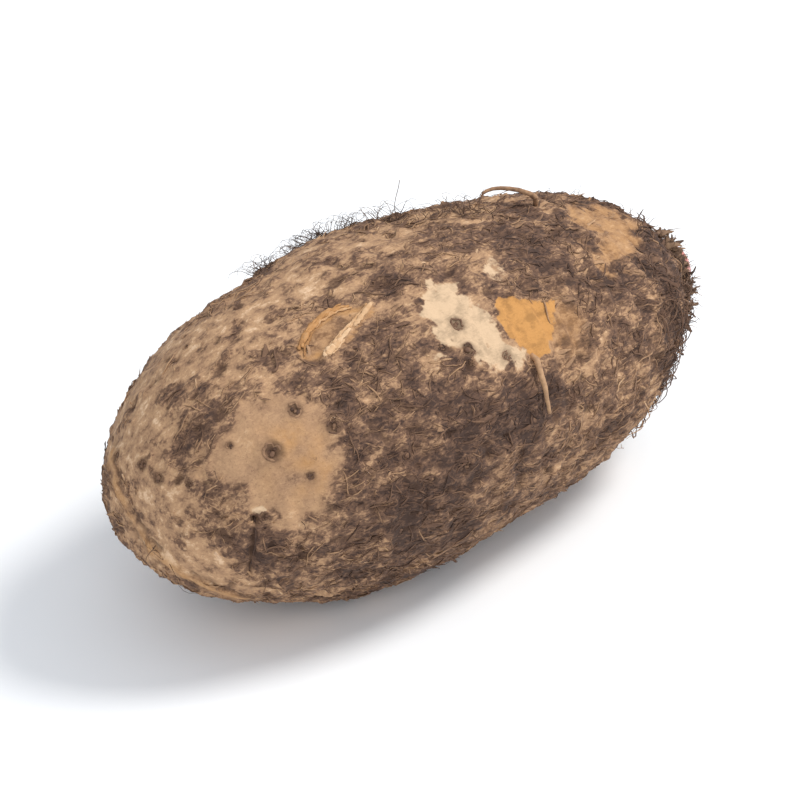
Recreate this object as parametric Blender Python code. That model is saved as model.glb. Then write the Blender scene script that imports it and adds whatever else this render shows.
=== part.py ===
"""A whole taro root lying on its side, with its shoot end towards +X.

The corm is one solid: a turned body with ring scars, with the root scars, the torn sheath scales,
the sheath stubs round the shoot and the coarse rootlets that grow from it joined on. The pink shoot
bud is a second solid, which stands in the hollow at the corm's crown.
"""

import math
import random
from bisect import bisect_left

import bmesh
import bpy
from mathutils import Matrix, Vector, noise

# Driving dimensions of the corm, in metres
HALF_LENGTH = 0.0930
HALF_WIDTH = 0.0440
HALF_HEIGHT = 0.0438
REST_DEPTH = 0.0013
FULLNESS = 0.85
SHOOT_END_TAPER = 0.076

# Broad lumps and ring scars of the skin
LUMP_SIZE = 0.034
LUMP_HEIGHT = 0.0022
RING_PITCH = 0.0092
RING_PITCH_SPREAD = 0.55
RING_FOOT_TO_CREST = 0.78
RING_HEIGHT_AT_BASE = 0.0003
RING_HEIGHT_AT_SHOOT = 0.0012
RING_WANDER = 0.0036
FLOOR_FADE = 0.0080

# Scar at the basal pole, where the root broke from its parent
BASAL_SCAR_ARC = 0.0105
BASAL_SCAR_DEPTH = 0.0011
BASAL_RIM_HEIGHT = 0.0006

# Crown and shoot bud
CROWN_RADIUS = 0.0165
CROWN_RISE = 0.0034
CROWN_LIP = 0.0014
SOCKET_RADIUS = 0.0104
SOCKET_DEPTH = 0.0090
BUD_GAP = 0.0003
BUD_RISE = 0.0125

# Facets
SIDES = 36
RING_STATIONS = (0.0, 0.45, RING_FOOT_TO_CREST)

# Repeats on the skin
SEED = 41
SCALE_COUNT = 62
SCALE_THICKNESS = 0.0010
INNER_STUBS = 11
OUTER_STUBS = 14
ROOT_SCAR_COUNT = 24
ROOT_SCAR_RADIUS = 0.0019
ROOTLET_COUNT = 9
ROOTLET_RADIUS = 0.0008
SUNK = 0.0020

# Root scars that the photo shows: distance from the basal pole, turn in degrees, radius
SEEN_ROOT_SCARS = (
    (0.0394, 140, 0.0026), (0.0306, 130, 0.0018), (0.0450, 157, 0.0019), (0.0500, 129, 0.0020),
    (0.0547, 142, 0.0018), (0.1008, 129, 0.0021), (0.0992, 137, 0.0018), (0.1097, 145, 0.0019),
)
# Rootlets that the photo shows: foot and tip as distance and turn, and height above the skin
SEEN_ROOTLETS = (
    ((0.1579, 88), (0.1460, 74), 0.0052),
    ((0.1080, 143), (0.1175, 168), 0.0026),
)

CENTRE_HEIGHT = HALF_HEIGHT - REST_DEPTH
ARC_STEPS = 720


def arc_lengths():
    """Distance along the outline from the basal pole, at equal steps of polar angle."""
    lengths = [0.0]
    for step in range(ARC_STEPS):
        polar = math.pi * (step + 0.5) / ARC_STEPS
        along = HALF_LENGTH * math.sin(polar)
        across = HALF_HEIGHT * math.cos(polar)
        lengths.append(lengths[-1] + math.hypot(along, across) * math.pi / ARC_STEPS)
    return lengths


ARC = arc_lengths()


def polar_at(arc):
    """Polar angle of the outline point at this distance from the basal pole."""
    arc = min(max(arc, 0.0), ARC[-1])
    step = max(1, bisect_left(ARC, arc))
    share = (arc - ARC[step - 1]) / (ARC[step] - ARC[step - 1])
    return math.pi * (step - 1 + share) / ARC_STEPS


def arc_at_radius(radius):
    """Distance from the basal pole at which the shoot end has narrowed to this radius."""
    polar = math.pi - math.asin((radius / HALF_HEIGHT) ** (1 / FULLNESS))
    return ARC[round(polar / math.pi * ARC_STEPS)]


CROWN_ARC = arc_at_radius(CROWN_RADIUS)


def ring_feet():
    """Distances from the basal pole at which each ring starts, unevenly spaced as on the real root."""
    feet = [0.0]
    while feet[-1] < CROWN_ARC + RING_PITCH:
        spread = RING_PITCH_SPREAD * noise.noise(Vector((len(feet) * 1.7, 0.4, 2.3)))
        feet.append(feet[-1] + RING_PITCH * (1 + spread))
    return feet


RING_FEET = ring_feet()


def plain_point(polar, turn):
    """Point and outward direction on the smooth body, before any lump or ring."""
    along = -math.cos(polar)
    girth = math.sin(polar) ** FULLNESS * (1 - SHOOT_END_TAPER * along)
    point = Vector((
        HALF_LENGTH * along,
        HALF_WIDTH * girth * math.cos(turn),
        HALF_HEIGHT * girth * math.sin(turn),
    ))
    outward = Vector((
        point.x / HALF_LENGTH**2,
        point.y / HALF_WIDTH**2,
        point.z / HALF_HEIGHT**2,
    )).normalized()
    point.z += CENTRE_HEIGHT
    return point, outward


def end_fade(arc):
    """0 at both ends of the outline and 1 over most of it, so that the ends stay true."""
    reach = 0.018
    return min(1.0, arc / reach, max(0.0, CROWN_ARC - arc) / reach)


def basal_scar(arc):
    """Height of the dished basal scar and its torn rim, and 0 beyond them."""
    share = arc / BASAL_SCAR_ARC
    if share < 0.8:
        return -BASAL_SCAR_DEPTH * (1 - (share / 0.8) ** 2)
    if share < 1.6:
        return BASAL_RIM_HEIGHT * (1 - abs(share - 1.2) / 0.4)
    return 0.0


def ring_share(arc):
    """0 at a ring's foot, 1 at its crest, falling back to 0 at the next ring's foot."""
    ring = max(1, min(bisect_left(RING_FEET, arc), len(RING_FEET) - 1))
    foot = RING_FEET[ring - 1]
    place = min(1.0, max(0.0, (arc - foot) / (RING_FEET[ring] - foot)))
    if place < RING_FOOT_TO_CREST:
        return place / RING_FOOT_TO_CREST
    return (1.0 - place) / (1.0 - RING_FOOT_TO_CREST)


def ring_height(arc, point):
    """How far the ring scar stands out here: bolder towards the shoot, and worn in places.

    Rings fade out near the floor, so that the rest spot is even.
    """
    towards_shoot = arc / CROWN_ARC
    full = RING_HEIGHT_AT_BASE + (RING_HEIGHT_AT_SHOOT - RING_HEIGHT_AT_BASE) * towards_shoot
    worn = 0.75 + 0.75 * noise.noise(point / 0.024)
    off_floor = min(1.0, max(0.0, point.z) / FLOOR_FADE)
    return full * max(0.1, worn) * off_floor * ring_share(arc)


def skin_point(arc, turn, lift=0.0):
    """Point on the finished skin at a distance from the basal pole and a turn about the axis."""
    fade = end_fade(arc)
    wander = RING_WANDER * fade * noise.noise(Vector((arc / 0.05, math.cos(turn), math.sin(turn))))
    point, outward = plain_point(polar_at(arc + wander), turn)
    lump = LUMP_HEIGHT * noise.noise(point / LUMP_SIZE + Vector((3.1, 0.7, 5.2)))
    return point + outward * (fade * (lump + ring_height(arc, point)) + basal_scar(arc) + lift)


def skin_frame(arc, turn):
    """Skin point with its outward, shootward and sideways directions."""
    step = 0.002
    point = skin_point(arc, turn)
    shootward = (skin_point(arc + step, turn) - skin_point(arc - step, turn)).normalized()
    _, outward = plain_point(polar_at(arc), turn)
    sideways = outward.cross(shootward).normalized()
    return point, outward, shootward, sideways


def material(name, colour, roughness):
    made = bpy.data.materials.new(name)
    made.use_nodes = True
    shader = made.node_tree.nodes["Principled BSDF"]
    shader.inputs["Base Color"].default_value = (*colour, 1.0)
    shader.inputs["Roughness"].default_value = roughness
    shader.inputs["Metallic"].default_value = 0.0
    return made


def object_from(bm, name, collection=None):
    bmesh.ops.recalc_face_normals(bm, faces=bm.faces)
    mesh = bpy.data.meshes.new(name)
    bm.to_mesh(mesh)
    bm.free()
    made = bpy.data.objects.new(name, mesh)
    (collection or bpy.context.scene.collection).objects.link(made)
    return made


def spun(outline):
    """Closed solid turned about X from an outline of (x, radius) pairs that starts and ends on the axis."""
    bm = bmesh.new()
    verts = [bm.verts.new((x, radius, 0.0)) for x, radius in outline]
    edges = [bm.edges.new(pair) for pair in zip(verts, verts[1:])]
    bmesh.ops.spin(
        bm, geom=verts + edges, cent=(0, 0, 0), axis=(1, 0, 0),
        angle=math.tau, steps=SIDES, use_merge=True,
    )
    bmesh.ops.remove_doubles(bm, verts=bm.verts, dist=1e-6)
    return bm


def lofted(sections):
    """Closed bmesh through a list of sections, each the same number of corners in order."""
    bm = bmesh.new()
    face = bm.faces.new([bm.verts.new(corner) for corner in sections[0]])
    for section in sections[1:]:
        grown = bmesh.ops.extrude_discrete_faces(bm, faces=[face])["faces"][0]
        for vert, corner in zip(grown.verts, section):
            vert.co = corner
        face = grown
    start = [edge for edge in bm.edges if edge.is_boundary]
    bmesh.ops.contextual_create(bm, geom=start)
    return bm


def body_arcs():
    """Stations along the outline, three to each ring, that the turned body is built on."""
    arcs = [
        foot + place * (following - foot)
        for foot, following in zip(RING_FEET, RING_FEET[1:])
        for place in RING_STATIONS
    ]
    return [arc for arc in arcs if 0.0012 < arc < CROWN_ARC - 0.0015] + [CROWN_ARC]


def crown_centre():
    """Centre of the circle where the body's skin ends and the crown begins."""
    rim, _ = plain_point(polar_at(CROWN_ARC), 0.0)
    return Vector((rim.x, 0.0, rim.z))


def make_body():
    """The turned body, each station pushed out to the skin, with the bud's socket in the crown."""
    centre = crown_centre()
    top_x = centre.x + CROWN_RISE
    crown = (
        (centre.x + CROWN_RISE * 0.55, CROWN_RADIUS - 0.0013),
        (top_x, SOCKET_RADIUS + CROWN_LIP),
        (top_x, SOCKET_RADIUS),
        (top_x - SOCKET_DEPTH, SOCKET_RADIUS),
        (top_x - SOCKET_DEPTH, 0.0),
    )
    # The outline is laid out by arc, with whole numbers for the crown, and then swapped for true places.
    outline = [(0.0, 0.0)] + [(arc, 0.01) for arc in body_arcs()]
    outline += [(index + 1.0, min(radius, 0.01)) for index, (_, radius) in enumerate(crown)]
    bm = spun(outline)
    for vert in bm.verts:
        turn = math.atan2(vert.co.z, vert.co.y)
        if vert.co.x < 0.9:
            vert.co = skin_point(vert.co.x, turn)
            continue
        x, radius = crown[round(vert.co.x) - 1]
        vert.co = (x, radius * math.cos(turn), centre.z + radius * math.sin(turn))
    return object_from(bm, "corm")


def make_bud():
    """The shoot bud: a plug in the socket that swells into a blunt dome with a dimpled tip."""
    centre = crown_centre()
    top_x = centre.x + CROWN_RISE
    radius = SOCKET_RADIUS - BUD_GAP
    outline = [
        (top_x - SOCKET_DEPTH + BUD_GAP, 0.0),
        (top_x - SOCKET_DEPTH + BUD_GAP, radius),
        (top_x, radius),
    ]
    for step in range(1, 8):
        swing = math.radians(11.5 * step)
        outline.append((top_x + BUD_RISE * math.sin(swing), radius * math.cos(swing) ** 0.75))
    outline.append((top_x + BUD_RISE * 0.94, 0.0))
    bm = spun(outline)
    bmesh.ops.translate(bm, verts=bm.verts, vec=(0, 0, centre.z))
    bud = object_from(bm, "shoot_bud")
    bud.data.materials.append(material("pink bud", (0.52, 0.20, 0.17), 0.5))
    return bud


def scale_sections(arc, turn, length, width, lift, skew):
    """Sections of a torn sheath scale: sunk root, lifted middle and a thin ragged tip."""
    sections = []
    plan = ((0.0, 1.0, -SUNK, 1.6), (0.5, 0.85, lift * 0.75, 1.0), (1.0, 0.35, lift, 0.6))
    for share, wide, high, thick in plan:
        here, outward, shootward, sideways = skin_frame(
            arc + length * share, turn + skew * share
        )
        half = sideways * (width / 2 * wide)
        core = here + outward * high
        thickness = outward * (SCALE_THICKNESS * thick / 2)
        curl = outward * (width * wide * 0.10)
        sections.append([
            core - half - curl - thickness,
            core + half - curl - thickness,
            core + half - curl + thickness * 0.6,
            core + thickness,
            core - half - curl + thickness * 0.6,
        ])
    return sections


def make_scales(repeats, draw):
    """Torn sheath scales, rooted at ring crests and lying towards the shoot, thicker near it."""
    made = 0
    while made < SCALE_COUNT:
        ring = 4 + int((len(RING_FEET) - 6) * draw.random() ** 0.7)
        turn = draw.uniform(-math.pi, math.pi)
        arc = RING_FEET[ring] - 0.3 * RING_PITCH
        length = draw.uniform(0.006, 0.0115)
        width = draw.uniform(0.0035, 0.0075)
        lift = draw.uniform(0.0006, 0.0019)
        skew = draw.uniform(-0.06, 0.06)
        if skin_point(arc + length / 2, turn).z < 0.006 or arc + length > CROWN_ARC - 0.003:
            continue
        sections = scale_sections(arc, turn, length, width, lift, skew)
        object_from(lofted(sections), f"scale_{made}", repeats)
        made += 1


def make_stubs(repeats, draw, name, count, radius, height, foot):
    """One broken ring of old sheath stubs round the bud, each leaning out by its own amount."""
    centre = crown_centre()
    for stub in range(count):
        turn = math.tau * (stub + draw.uniform(-0.3, 0.3)) / count
        tall = height * draw.uniform(0.45, 1.25)
        lean = draw.uniform(0.0006, 0.0030)
        wide = math.pi * radius / count * draw.uniform(0.75, 1.25)
        out = Vector((0.0, math.cos(turn), math.sin(turn)))
        side = Vector((0.0, -math.sin(turn), math.cos(turn)))
        sections = []
        for share, narrow, thick in ((0.0, 1.1, 0.0017), (0.55, 0.9, 0.0013), (1.0, 0.4, 0.0007)):
            core = centre + out * (radius + lean * share**1.5) + Vector((foot + tall * share, 0, 0))
            half = side * wide * narrow
            depth = out * thick / 2
            sections.append([
                core - half - depth * 1.6, core + half - depth * 1.6, core + half - depth * 0.2,
                core + depth, core - half - depth * 0.2,
            ])
        object_from(lofted(sections), f"{name}_{stub}", repeats)


def make_collar(repeats, draw):
    """Two rings of torn sheath stubs: tall ones on the crown's lip and short ones below them."""
    inner = SOCKET_RADIUS + CROWN_LIP + 0.0006
    make_stubs(repeats, draw, "inner_stub", INNER_STUBS, inner, 0.0085, CROWN_RISE * 0.3)
    make_stubs(repeats, draw, "outer_stub", OUTER_STUBS, CROWN_RADIUS - 0.0008, 0.0060, -0.0016)


def make_root_scar(repeats, name, arc, turn, radius):
    """A low six-sided boss, sunk in the skin, left where a root has dropped off."""
    here, outward, _, sideways = skin_frame(arc, turn)
    bm = bmesh.new()
    bmesh.ops.create_cone(
        bm, cap_ends=True, segments=6, radius1=radius * 1.25, radius2=radius * 0.9, depth=0.0034
    )
    tilt = Matrix((sideways, outward.cross(sideways), outward)).transposed().to_4x4()
    place = Matrix.Translation(here - outward * 0.0008)
    bmesh.ops.transform(bm, matrix=place @ tilt, verts=bm.verts)
    object_from(bm, name, repeats)


def make_root_scars(repeats, draw):
    """The root scars that the photo shows, then more of them over the rest of the skin."""
    for index, (arc, degrees, radius) in enumerate(SEEN_ROOT_SCARS):
        make_root_scar(repeats, f"seen_scar_{index}", arc, math.radians(degrees), radius)
    made = 0
    while made < ROOT_SCAR_COUNT:
        arc = draw.uniform(0.10, 0.80) * CROWN_ARC
        turn = draw.uniform(-math.pi, math.pi)
        radius = ROOT_SCAR_RADIUS * draw.uniform(0.75, 1.3)
        shown = math.radians(60) < turn % math.tau < math.radians(220)
        if shown or skin_point(arc, turn).z < 0.006:
            continue
        make_root_scar(repeats, f"root_scar_{made}", arc, turn, radius)
        made += 1


def make_rootlet(repeats, name, points, radius):
    """A tapering rootlet, six-sided, along a smooth path of points."""
    curve = bpy.data.curves.new(name, "CURVE")
    curve.dimensions = "3D"
    curve.bevel_depth = radius
    curve.bevel_resolution = 0
    curve.use_fill_caps = True
    spline = curve.splines.new("POLY")
    spline.points.add(len(points) - 1)
    for index, (target, point) in enumerate(zip(spline.points, points)):
        target.co = (*point, 1.0)
        target.radius = 1.0 - 0.45 * index / (len(points) - 1)
    guide = bpy.data.objects.new(name + "_path", curve)
    repeats.objects.link(guide)
    bpy.context.view_layer.update()
    mesh = bpy.data.meshes.new_from_object(guide.evaluated_get(bpy.context.evaluated_depsgraph_get()))
    bpy.data.objects.remove(guide)
    bm = bmesh.new()
    bm.from_mesh(mesh)
    bmesh.ops.remove_doubles(bm, verts=bm.verts, dist=1e-6)
    object_from(bm, name, repeats)


def rootlet_path(foot, tip, rise):
    """Path that leaves the skin at its foot, bows over it and ends a little above it at its tip."""
    steps = 7
    points = []
    for step in range(steps + 1):
        share = step / steps
        arc = foot[0] + (tip[0] - foot[0]) * share
        turn = foot[1] + (tip[1] - foot[1]) * share + 0.05 * math.sin(6.0 * share)
        here, outward, _, _ = skin_frame(arc, turn)
        height = -SUNK if step == 0 else rise * math.sin(math.pi * (0.12 + 0.68 * share))
        points.append(here + outward * height)
    return points


def make_rootlets(repeats, draw):
    """The rootlets that the photo shows, then more of them on the sides that it hides."""
    for index, (foot, tip, rise) in enumerate(SEEN_ROOTLETS):
        foot, tip = (foot[0], math.radians(foot[1])), (tip[0], math.radians(tip[1]))
        make_rootlet(repeats, f"seen_rootlet_{index}", rootlet_path(foot, tip, rise), ROOTLET_RADIUS)
    made = 0
    while made < ROOTLET_COUNT:
        foot = (draw.uniform(0.16, 0.72) * CROWN_ARC, draw.uniform(-1.1, 1.1))
        length = draw.uniform(0.014, 0.026) * draw.choice((-1, 1))
        tip = (foot[0] + length, foot[1] + draw.uniform(-0.45, 0.45))
        path = rootlet_path(foot, tip, draw.uniform(0.0018, 0.0040))
        if min(point.z for point in path) < 0.008:
            continue
        make_rootlet(repeats, f"rootlet_{made}", path, ROOTLET_RADIUS)
        made += 1


def apply_boolean(target, name, operation, solver, collection=None, cutter=None):
    step = target.modifiers.new(name, "BOOLEAN")
    step.operation = operation
    step.solver = solver
    if collection is not None:
        step.operand_type = "COLLECTION"
        step.collection = collection
    else:
        step.object = cutter
    bpy.context.view_layer.update()
    joined = bpy.data.meshes.new_from_object(
        target.evaluated_get(bpy.context.evaluated_depsgraph_get())
    )
    target.modifiers.remove(step)
    target.data = joined
    for used in list(collection.objects) if collection is not None else [cutter]:
        bpy.data.objects.remove(used)


def cut_rest_spot(corm):
    """Cuts the small flat spot that the root lies on, level with z = 0."""
    bm = bmesh.new()
    bmesh.ops.create_cube(bm, size=0.3)
    bmesh.ops.translate(bm, verts=bm.verts, vec=(0, 0, -0.15))
    cutter = object_from(bm, "rest_cutter")
    cutter.hide_render = True
    apply_boolean(corm, "rest", "DIFFERENCE", "EXACT", cutter=cutter)


def make_corm():
    corm = make_body()
    repeats = bpy.data.collections.new("repeats")
    bpy.context.scene.collection.children.link(repeats)
    draw = random.Random(SEED)
    make_collar(repeats, draw)
    make_scales(repeats, draw)
    make_root_scars(repeats, draw)
    make_rootlets(repeats, draw)
    apply_boolean(corm, "join", "UNION", "EXACT", collection=repeats)
    cut_rest_spot(corm)
    bpy.data.collections.remove(repeats)
    corm.data.materials.clear()
    corm.data.materials.append(material("brown skin", (0.24, 0.15, 0.09), 0.9))
    corm.data.shade_smooth()
    corm.data.set_sharp_from_angle(angle=math.radians(35))
    return corm


def main():
    for old in list(bpy.data.objects):
        bpy.data.objects.remove(old)
    make_corm()
    bud = make_bud()
    bud.data.shade_smooth()
    bud.data.set_sharp_from_angle(angle=math.radians(50))


main()
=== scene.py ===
"""Looks for the taro root: a fine skin with worn patches, matted fibres, torn bark, rootlets and the bud."""
import math

import bmesh
import bpy
import numpy as np
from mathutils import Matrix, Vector, noise


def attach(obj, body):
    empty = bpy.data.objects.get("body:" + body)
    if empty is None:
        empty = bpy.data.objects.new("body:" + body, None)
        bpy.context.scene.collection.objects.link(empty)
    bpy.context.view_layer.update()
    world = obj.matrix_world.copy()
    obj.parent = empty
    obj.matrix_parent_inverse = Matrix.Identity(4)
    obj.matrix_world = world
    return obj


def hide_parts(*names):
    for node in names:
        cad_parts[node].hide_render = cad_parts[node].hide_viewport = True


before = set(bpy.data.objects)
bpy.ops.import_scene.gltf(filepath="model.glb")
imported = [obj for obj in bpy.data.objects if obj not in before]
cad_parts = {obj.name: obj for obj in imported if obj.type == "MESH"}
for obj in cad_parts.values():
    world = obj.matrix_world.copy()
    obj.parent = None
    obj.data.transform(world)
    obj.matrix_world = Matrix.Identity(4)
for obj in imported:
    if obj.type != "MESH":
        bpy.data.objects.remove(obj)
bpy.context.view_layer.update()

bl_info = {
    "name": "Taro root",
    "version": (1, 0, 0),
    "blender": (4, 5, 0),
    "location": "3D View > Sidebar > Taro root",
    "description": "Builds the looks of a whole taro root over its packed solids",
    "category": "Add Mesh",
}

# The body, with the same values as the part's source, in metres
HALF_LENGTH = 0.0930
HALF_WIDTH = 0.0440
HALF_HEIGHT = 0.0438
REST_DEPTH = 0.0013
FULLNESS = 0.85
SHOOT_END_TAPER = 0.076
LUMP_SIZE = 0.034
LUMP_HEIGHT = 0.0022
RING_PITCH = 0.0092
RING_PITCH_SPREAD = 0.55
RING_FOOT_TO_CREST = 0.78
RING_HEIGHT_AT_BASE = 0.0003
RING_HEIGHT_AT_SHOOT = 0.0012
RING_WANDER = 0.0036
FLOOR_FADE = 0.0080
END_FADE = 0.018
BASAL_SCAR_ARC = 0.0105
BASAL_SCAR_DEPTH = 0.0011
BASAL_RIM_HEIGHT = 0.0006
CROWN_RADIUS = 0.0165
CROWN_RISE = 0.0034
CROWN_LIP = 0.0014
SOCKET_RADIUS = 0.0104
SOCKET_DEPTH = 0.0090
BUD_GAP = 0.0003
BUD_RISE = 0.0125
CENTRE_HEIGHT = HALF_HEIGHT - REST_DEPTH
# Strands keep this far above the floor, and fibres and hairs start this far under the skin
FLOOR_GAP = 0.0004
FOOT_DEPTH = 0.0002
# Places on the skin keep this far from its two ends
END_GAP = 0.0005

# Places on the skin are an arc, the distance from the basal pole, and a turn about the axis, in degrees
# Outlines of the patches that the photo shows, each a ring of places
CREAM_OUTLINES = (
    (
        (0.0980, 114), (0.1028, 112), (0.1077, 117), (0.1077, 124), (0.1118, 130), (0.1109, 136),
        (0.1122, 142), (0.1166, 148), (0.1093, 149), (0.1016, 145), (0.1004, 139), (0.0956, 134),
        (0.0904, 136), (0.0932, 129), (0.0936, 123), (0.0944, 118),
    ),
)
FLECK_OUTLINES = (((0.1203, 111), (0.1255, 111), (0.1263, 117), (0.1207, 122), (0.1191, 117)),)
# A pale scrap of inner skin at the crack's upper end
SCRAP_OUTLINES = (((0.0298, 163.4), (0.0322, 162.8), (0.0329, 165.2), (0.0304, 166.4)),)
OCHRE_OUTLINES = (
    (
        (0.1174, 125), (0.1211, 129), (0.1335, 135), (0.1323, 140), (0.1291, 145), (0.1235, 150),
        (0.1199, 151), (0.1162, 146), (0.1122, 139), (0.1126, 132),
    ),
)
WORN_OUTLINES = (
    (
        (0.0200, 129), (0.0255, 124), (0.0315, 121), (0.0388, 118), (0.0463, 120), (0.0516, 127),
        (0.0551, 137), (0.0554, 147), (0.0533, 156), (0.0493, 165), (0.0447, 173), (0.0382, 173),
        (0.0312, 167), (0.0279, 155), (0.0232, 145),
    ),
)
# Torn strip of inner bark above the worn patch, and the rubbed skin at the shoot end
STRIP_OUTLINES = (
    (
        (0.0575, 114), (0.0614, 108), (0.0680, 104), (0.0740, 104), (0.0802, 107), (0.0833, 111),
        (0.0786, 114), (0.0706, 117), (0.0643, 118),
    ),
)
RUBBED_OUTLINES = (
    (
        (0.1623, 103), (0.1740, 90), (0.1850, 92), (0.1900, 101), (0.1837, 121), (0.1689, 130),
        (0.1576, 133), (0.1576, 123), (0.1692, 115),
    ),
)
# Patches on the sides that the photo hides: arc, turn, half-length, half-width, slant in degrees
HIDDEN_WORN = (
    (0.0800, -58, 0.0130, 0.0095, 30), (0.1350, -20, 0.0100, 0.0075, 0), (0.0420, 10, 0.0140, 0.0090, 10),
    (0.1100, 45, 0.0085, 0.0050, 0), (0.1700, -120, 0.0080, 0.0100, 0), (0.0500, -110, 0.0150, 0.0060, -15),
)
HIDDEN_CREAM = ((0.1400, -42, 0.0055, 0.0075, 20), (0.0900, 12, 0.0060, 0.0090, 25))
HIDDEN_OCHRE = ((0.1480, -32, 0.0050, 0.0060, 0),)
# Broad regions, paler or darker than the rest: arc, turn, half-length, half-width, amount
TONE_REGIONS = (
    (0.0450, 66, 0.0180, 0.0170, 0.24),
    (0.0740, 84, 0.0260, 0.0150, 0.14),
    (0.0540, 97, 0.0100, 0.0100, 0.08),
    (0.1020, 90, 0.0180, 0.0130, 0.13),
    (0.0120, 196, 0.0120, 0.0170, 0.23),
    (0.0105, 100, 0.0085, 0.0120, 0.14),
    (0.0240, 106, 0.0085, 0.0110, -0.24),
    (0.0190, 72, 0.0140, 0.0150, 0.19),
    (0.0605, 133, 0.0055, 0.0085, -0.32),
    (0.0545, 109, 0.0045, 0.0045, -0.24),
    (0.0330, 112, 0.0050, 0.0040, -0.20),
    (0.0740, 122, 0.0110, 0.0060, -0.22),
    (0.0935, 104, 0.0065, 0.0060, -0.30),
    (0.0740, 158, 0.0150, 0.0160, -0.12),
    (0.0680, 188, 0.0220, 0.0130, -0.32),
    (0.0930, 150, 0.0150, 0.0095, -0.14),
    (0.0900, 164, 0.0140, 0.0120, -0.18),
    # This region is darker scruff and also painted shadow of neighbouring pieces that the scene leaves out
    (0.1120, 164, 0.0170, 0.0110, -0.34),
    (0.0300, 186, 0.0080, 0.0070, -0.16),
    (0.0300, 84, 0.0060, 0.0050, -0.16),
    (0.0360, 97, 0.0050, 0.0045, -0.16),
    (0.1200, 98, 0.0130, 0.0110, -0.10),
    (0.1420, 118, 0.0160, 0.0170, -0.32),
    (0.1550, 150, 0.0200, 0.0170, -0.14),
    (0.0880, 204, 0.0320, 0.0150, -0.18),
    (0.0420, 222, 0.0280, 0.0060, 0.16),
    (0.0600, -20, 0.0300, 0.0260, 0.20),
    (0.1050, -60, 0.0200, 0.0180, 0.12),
    (0.1250, 22, 0.0200, 0.0160, 0.14),
    (0.1550, 0, 0.0250, 0.0250, -0.12),
    (0.1500, -100, 0.0250, 0.0250, -0.14),
    (0.0850, 30, 0.0120, 0.0110, -0.16),
    (0.0950, -120, 0.0200, 0.0160, -0.14),
)
# How much darker the shoot end is
SHOOT_END_TONE = -0.34
# The shoot end's top, as far as the photo shows it, has no shag: its far x, middle turn, half-turn
SHAG_FREE = (0.0830, 106, 42)
# Root scars in all, and torn lumps in each scar's eye
ROOT_SCAR_COUNT = 58
EYE_LUMPS = 4
# Root scars that the photo shows: arc, turn, radius
SEEN_ROOT_SCARS = (
    (0.0388, 141, 0.0024), (0.0304, 129, 0.0010), (0.0457, 156, 0.0011), (0.0487, 130, 0.0019),
    (0.0554, 142, 0.0018), (0.1004, 129, 0.0018), (0.0992, 138, 0.0019), (0.1097, 145, 0.0014),
    (0.0924, 134, 0.0012), (0.0298, 168, 0.0013), (0.0603, 76, 0.0014), (0.0397, 63, 0.0012),
)
# Rootlets that the photo shows: foot, tip, rise off the skin, bow along the root, radius, tone
SEEN_ROOTLETS = (
    ((0.1579, 88), (0.1440, 80), 0.0052, 0.0, 0.0008, 0.52),
    ((0.1186, 148), (0.1178, 169.5), 0.0024, -0.0020, 0.0009, 0.70),
    ((0.0297, 167), (0.0286, 200), 0.0002, 0.0, 0.00035, 0.02),
    ((0.0500, 112), (0.0560, 106), 0.0006, 0.0, 0.0004, 0.30),
)
# The side that the photo shows: far arc, middle turn in degrees, half-turn in radians
SHOWN_SIDE = (0.180, 112, 1.85)
LOWEST_ROOTLET = 0.022
# How many times a rootlet's path is smoothed
ROOTLET_STIFFNESS = 12
# Lines on the skin, each a row of places: the dark crack, the strip's pale lip and the pale basal streak
CRACK = ((0.0296, 168), (0.0288, 178), (0.0284, 188), (0.0288, 202))
STRIP_TOP = ((0.0585, 114), (0.0612, 109), (0.0650, 106), (0.0700, 104), (0.0760, 104), (0.0815, 108))
STRIP_LIP = ((0.0825, 110), (0.0763, 113), (0.0710, 115), (0.0661, 117), (0.0638, 118))
BASAL_STREAK = (
    (0.0150, 33), (0.0096, 38), (0.0076, 28), (0.0074, 243), (0.0096, 231), (0.0143, 229), (0.0225, 227),
    (0.0320, 229),
)
# The ochre patch fades to brown at its lower right, partly its own colour and partly painted shadow of
# neighbouring pieces that the scene leaves out: arc, turn, half-length, half-width
OCHRE_BROWN_AND_SHADOW = (0.1335, 145, 0.0075, 0.0080)
# The worn patch is warmer round its big scar
WORN_STAIN = (0.0450, 148, 0.0085, 0.0100)

# Tufts of thin hair: arc, turn and share of the hairs, most of them on the top edge that the camera sees
HAIR_TUFTS = (
    (0.0800, 58, 0.6), (0.0830, 56, 0.8), (0.0960, 52, 0.9), (0.1000, 52, 1.4), (0.1035, 53, 1.6),
    (0.1070, 55, 1.3), (0.1110, 60, 0.8), (0.1170, 66, 0.9), (0.1195, 70, 1.0), (0.1235, 76, 0.5),
    (0.1290, 80, 0.7), (0.1350, 82, 0.9), (0.1410, 84, 0.6), (0.1300, 40, 0.5), (0.0700, -30, 0.4),
    (0.1100, -60, 0.6), (0.1500, -100, 0.6), (0.1200, 10, 0.5), (0.0490, -76, 0.2), (0.1850, 60, 0.5),
    (0.0085, -130, 0.12),
)
# The long upright hair: foot, height, radius
UPRIGHT_HAIR = ((0.1200, 71), 0.0115, 0.00011)

# The skin's noises: size of their features in metres
EDGE_SIZE = 0.0034
RAGGED_SIZE = 0.0013
BROAD_SIZE = 0.0110
MIDDLING_SIZE = 0.0045
SMALL_SIZE = 0.0021
GRAIN_SIZE = 0.0026
PIT_SIZE = 0.0031
# How far the two edge noises push a patch's edge, and how wide each kind's edge is
EDGE_REACH = 0.0024
RAGGED_REACH = 0.0013
CREAM_EDGE = 0.0017
FLECK_EDGE = 0.0018
SCRAP_EDGE = 0.0006
OCHRE_EDGE = 0.0013
STRIP_EDGE = 0.0006
STRIP_RIM = 0.0016
RUBBED_EDGE = 0.0022
WORN_EDGE = 0.0026
HALO_EDGE = 0.0020
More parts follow.
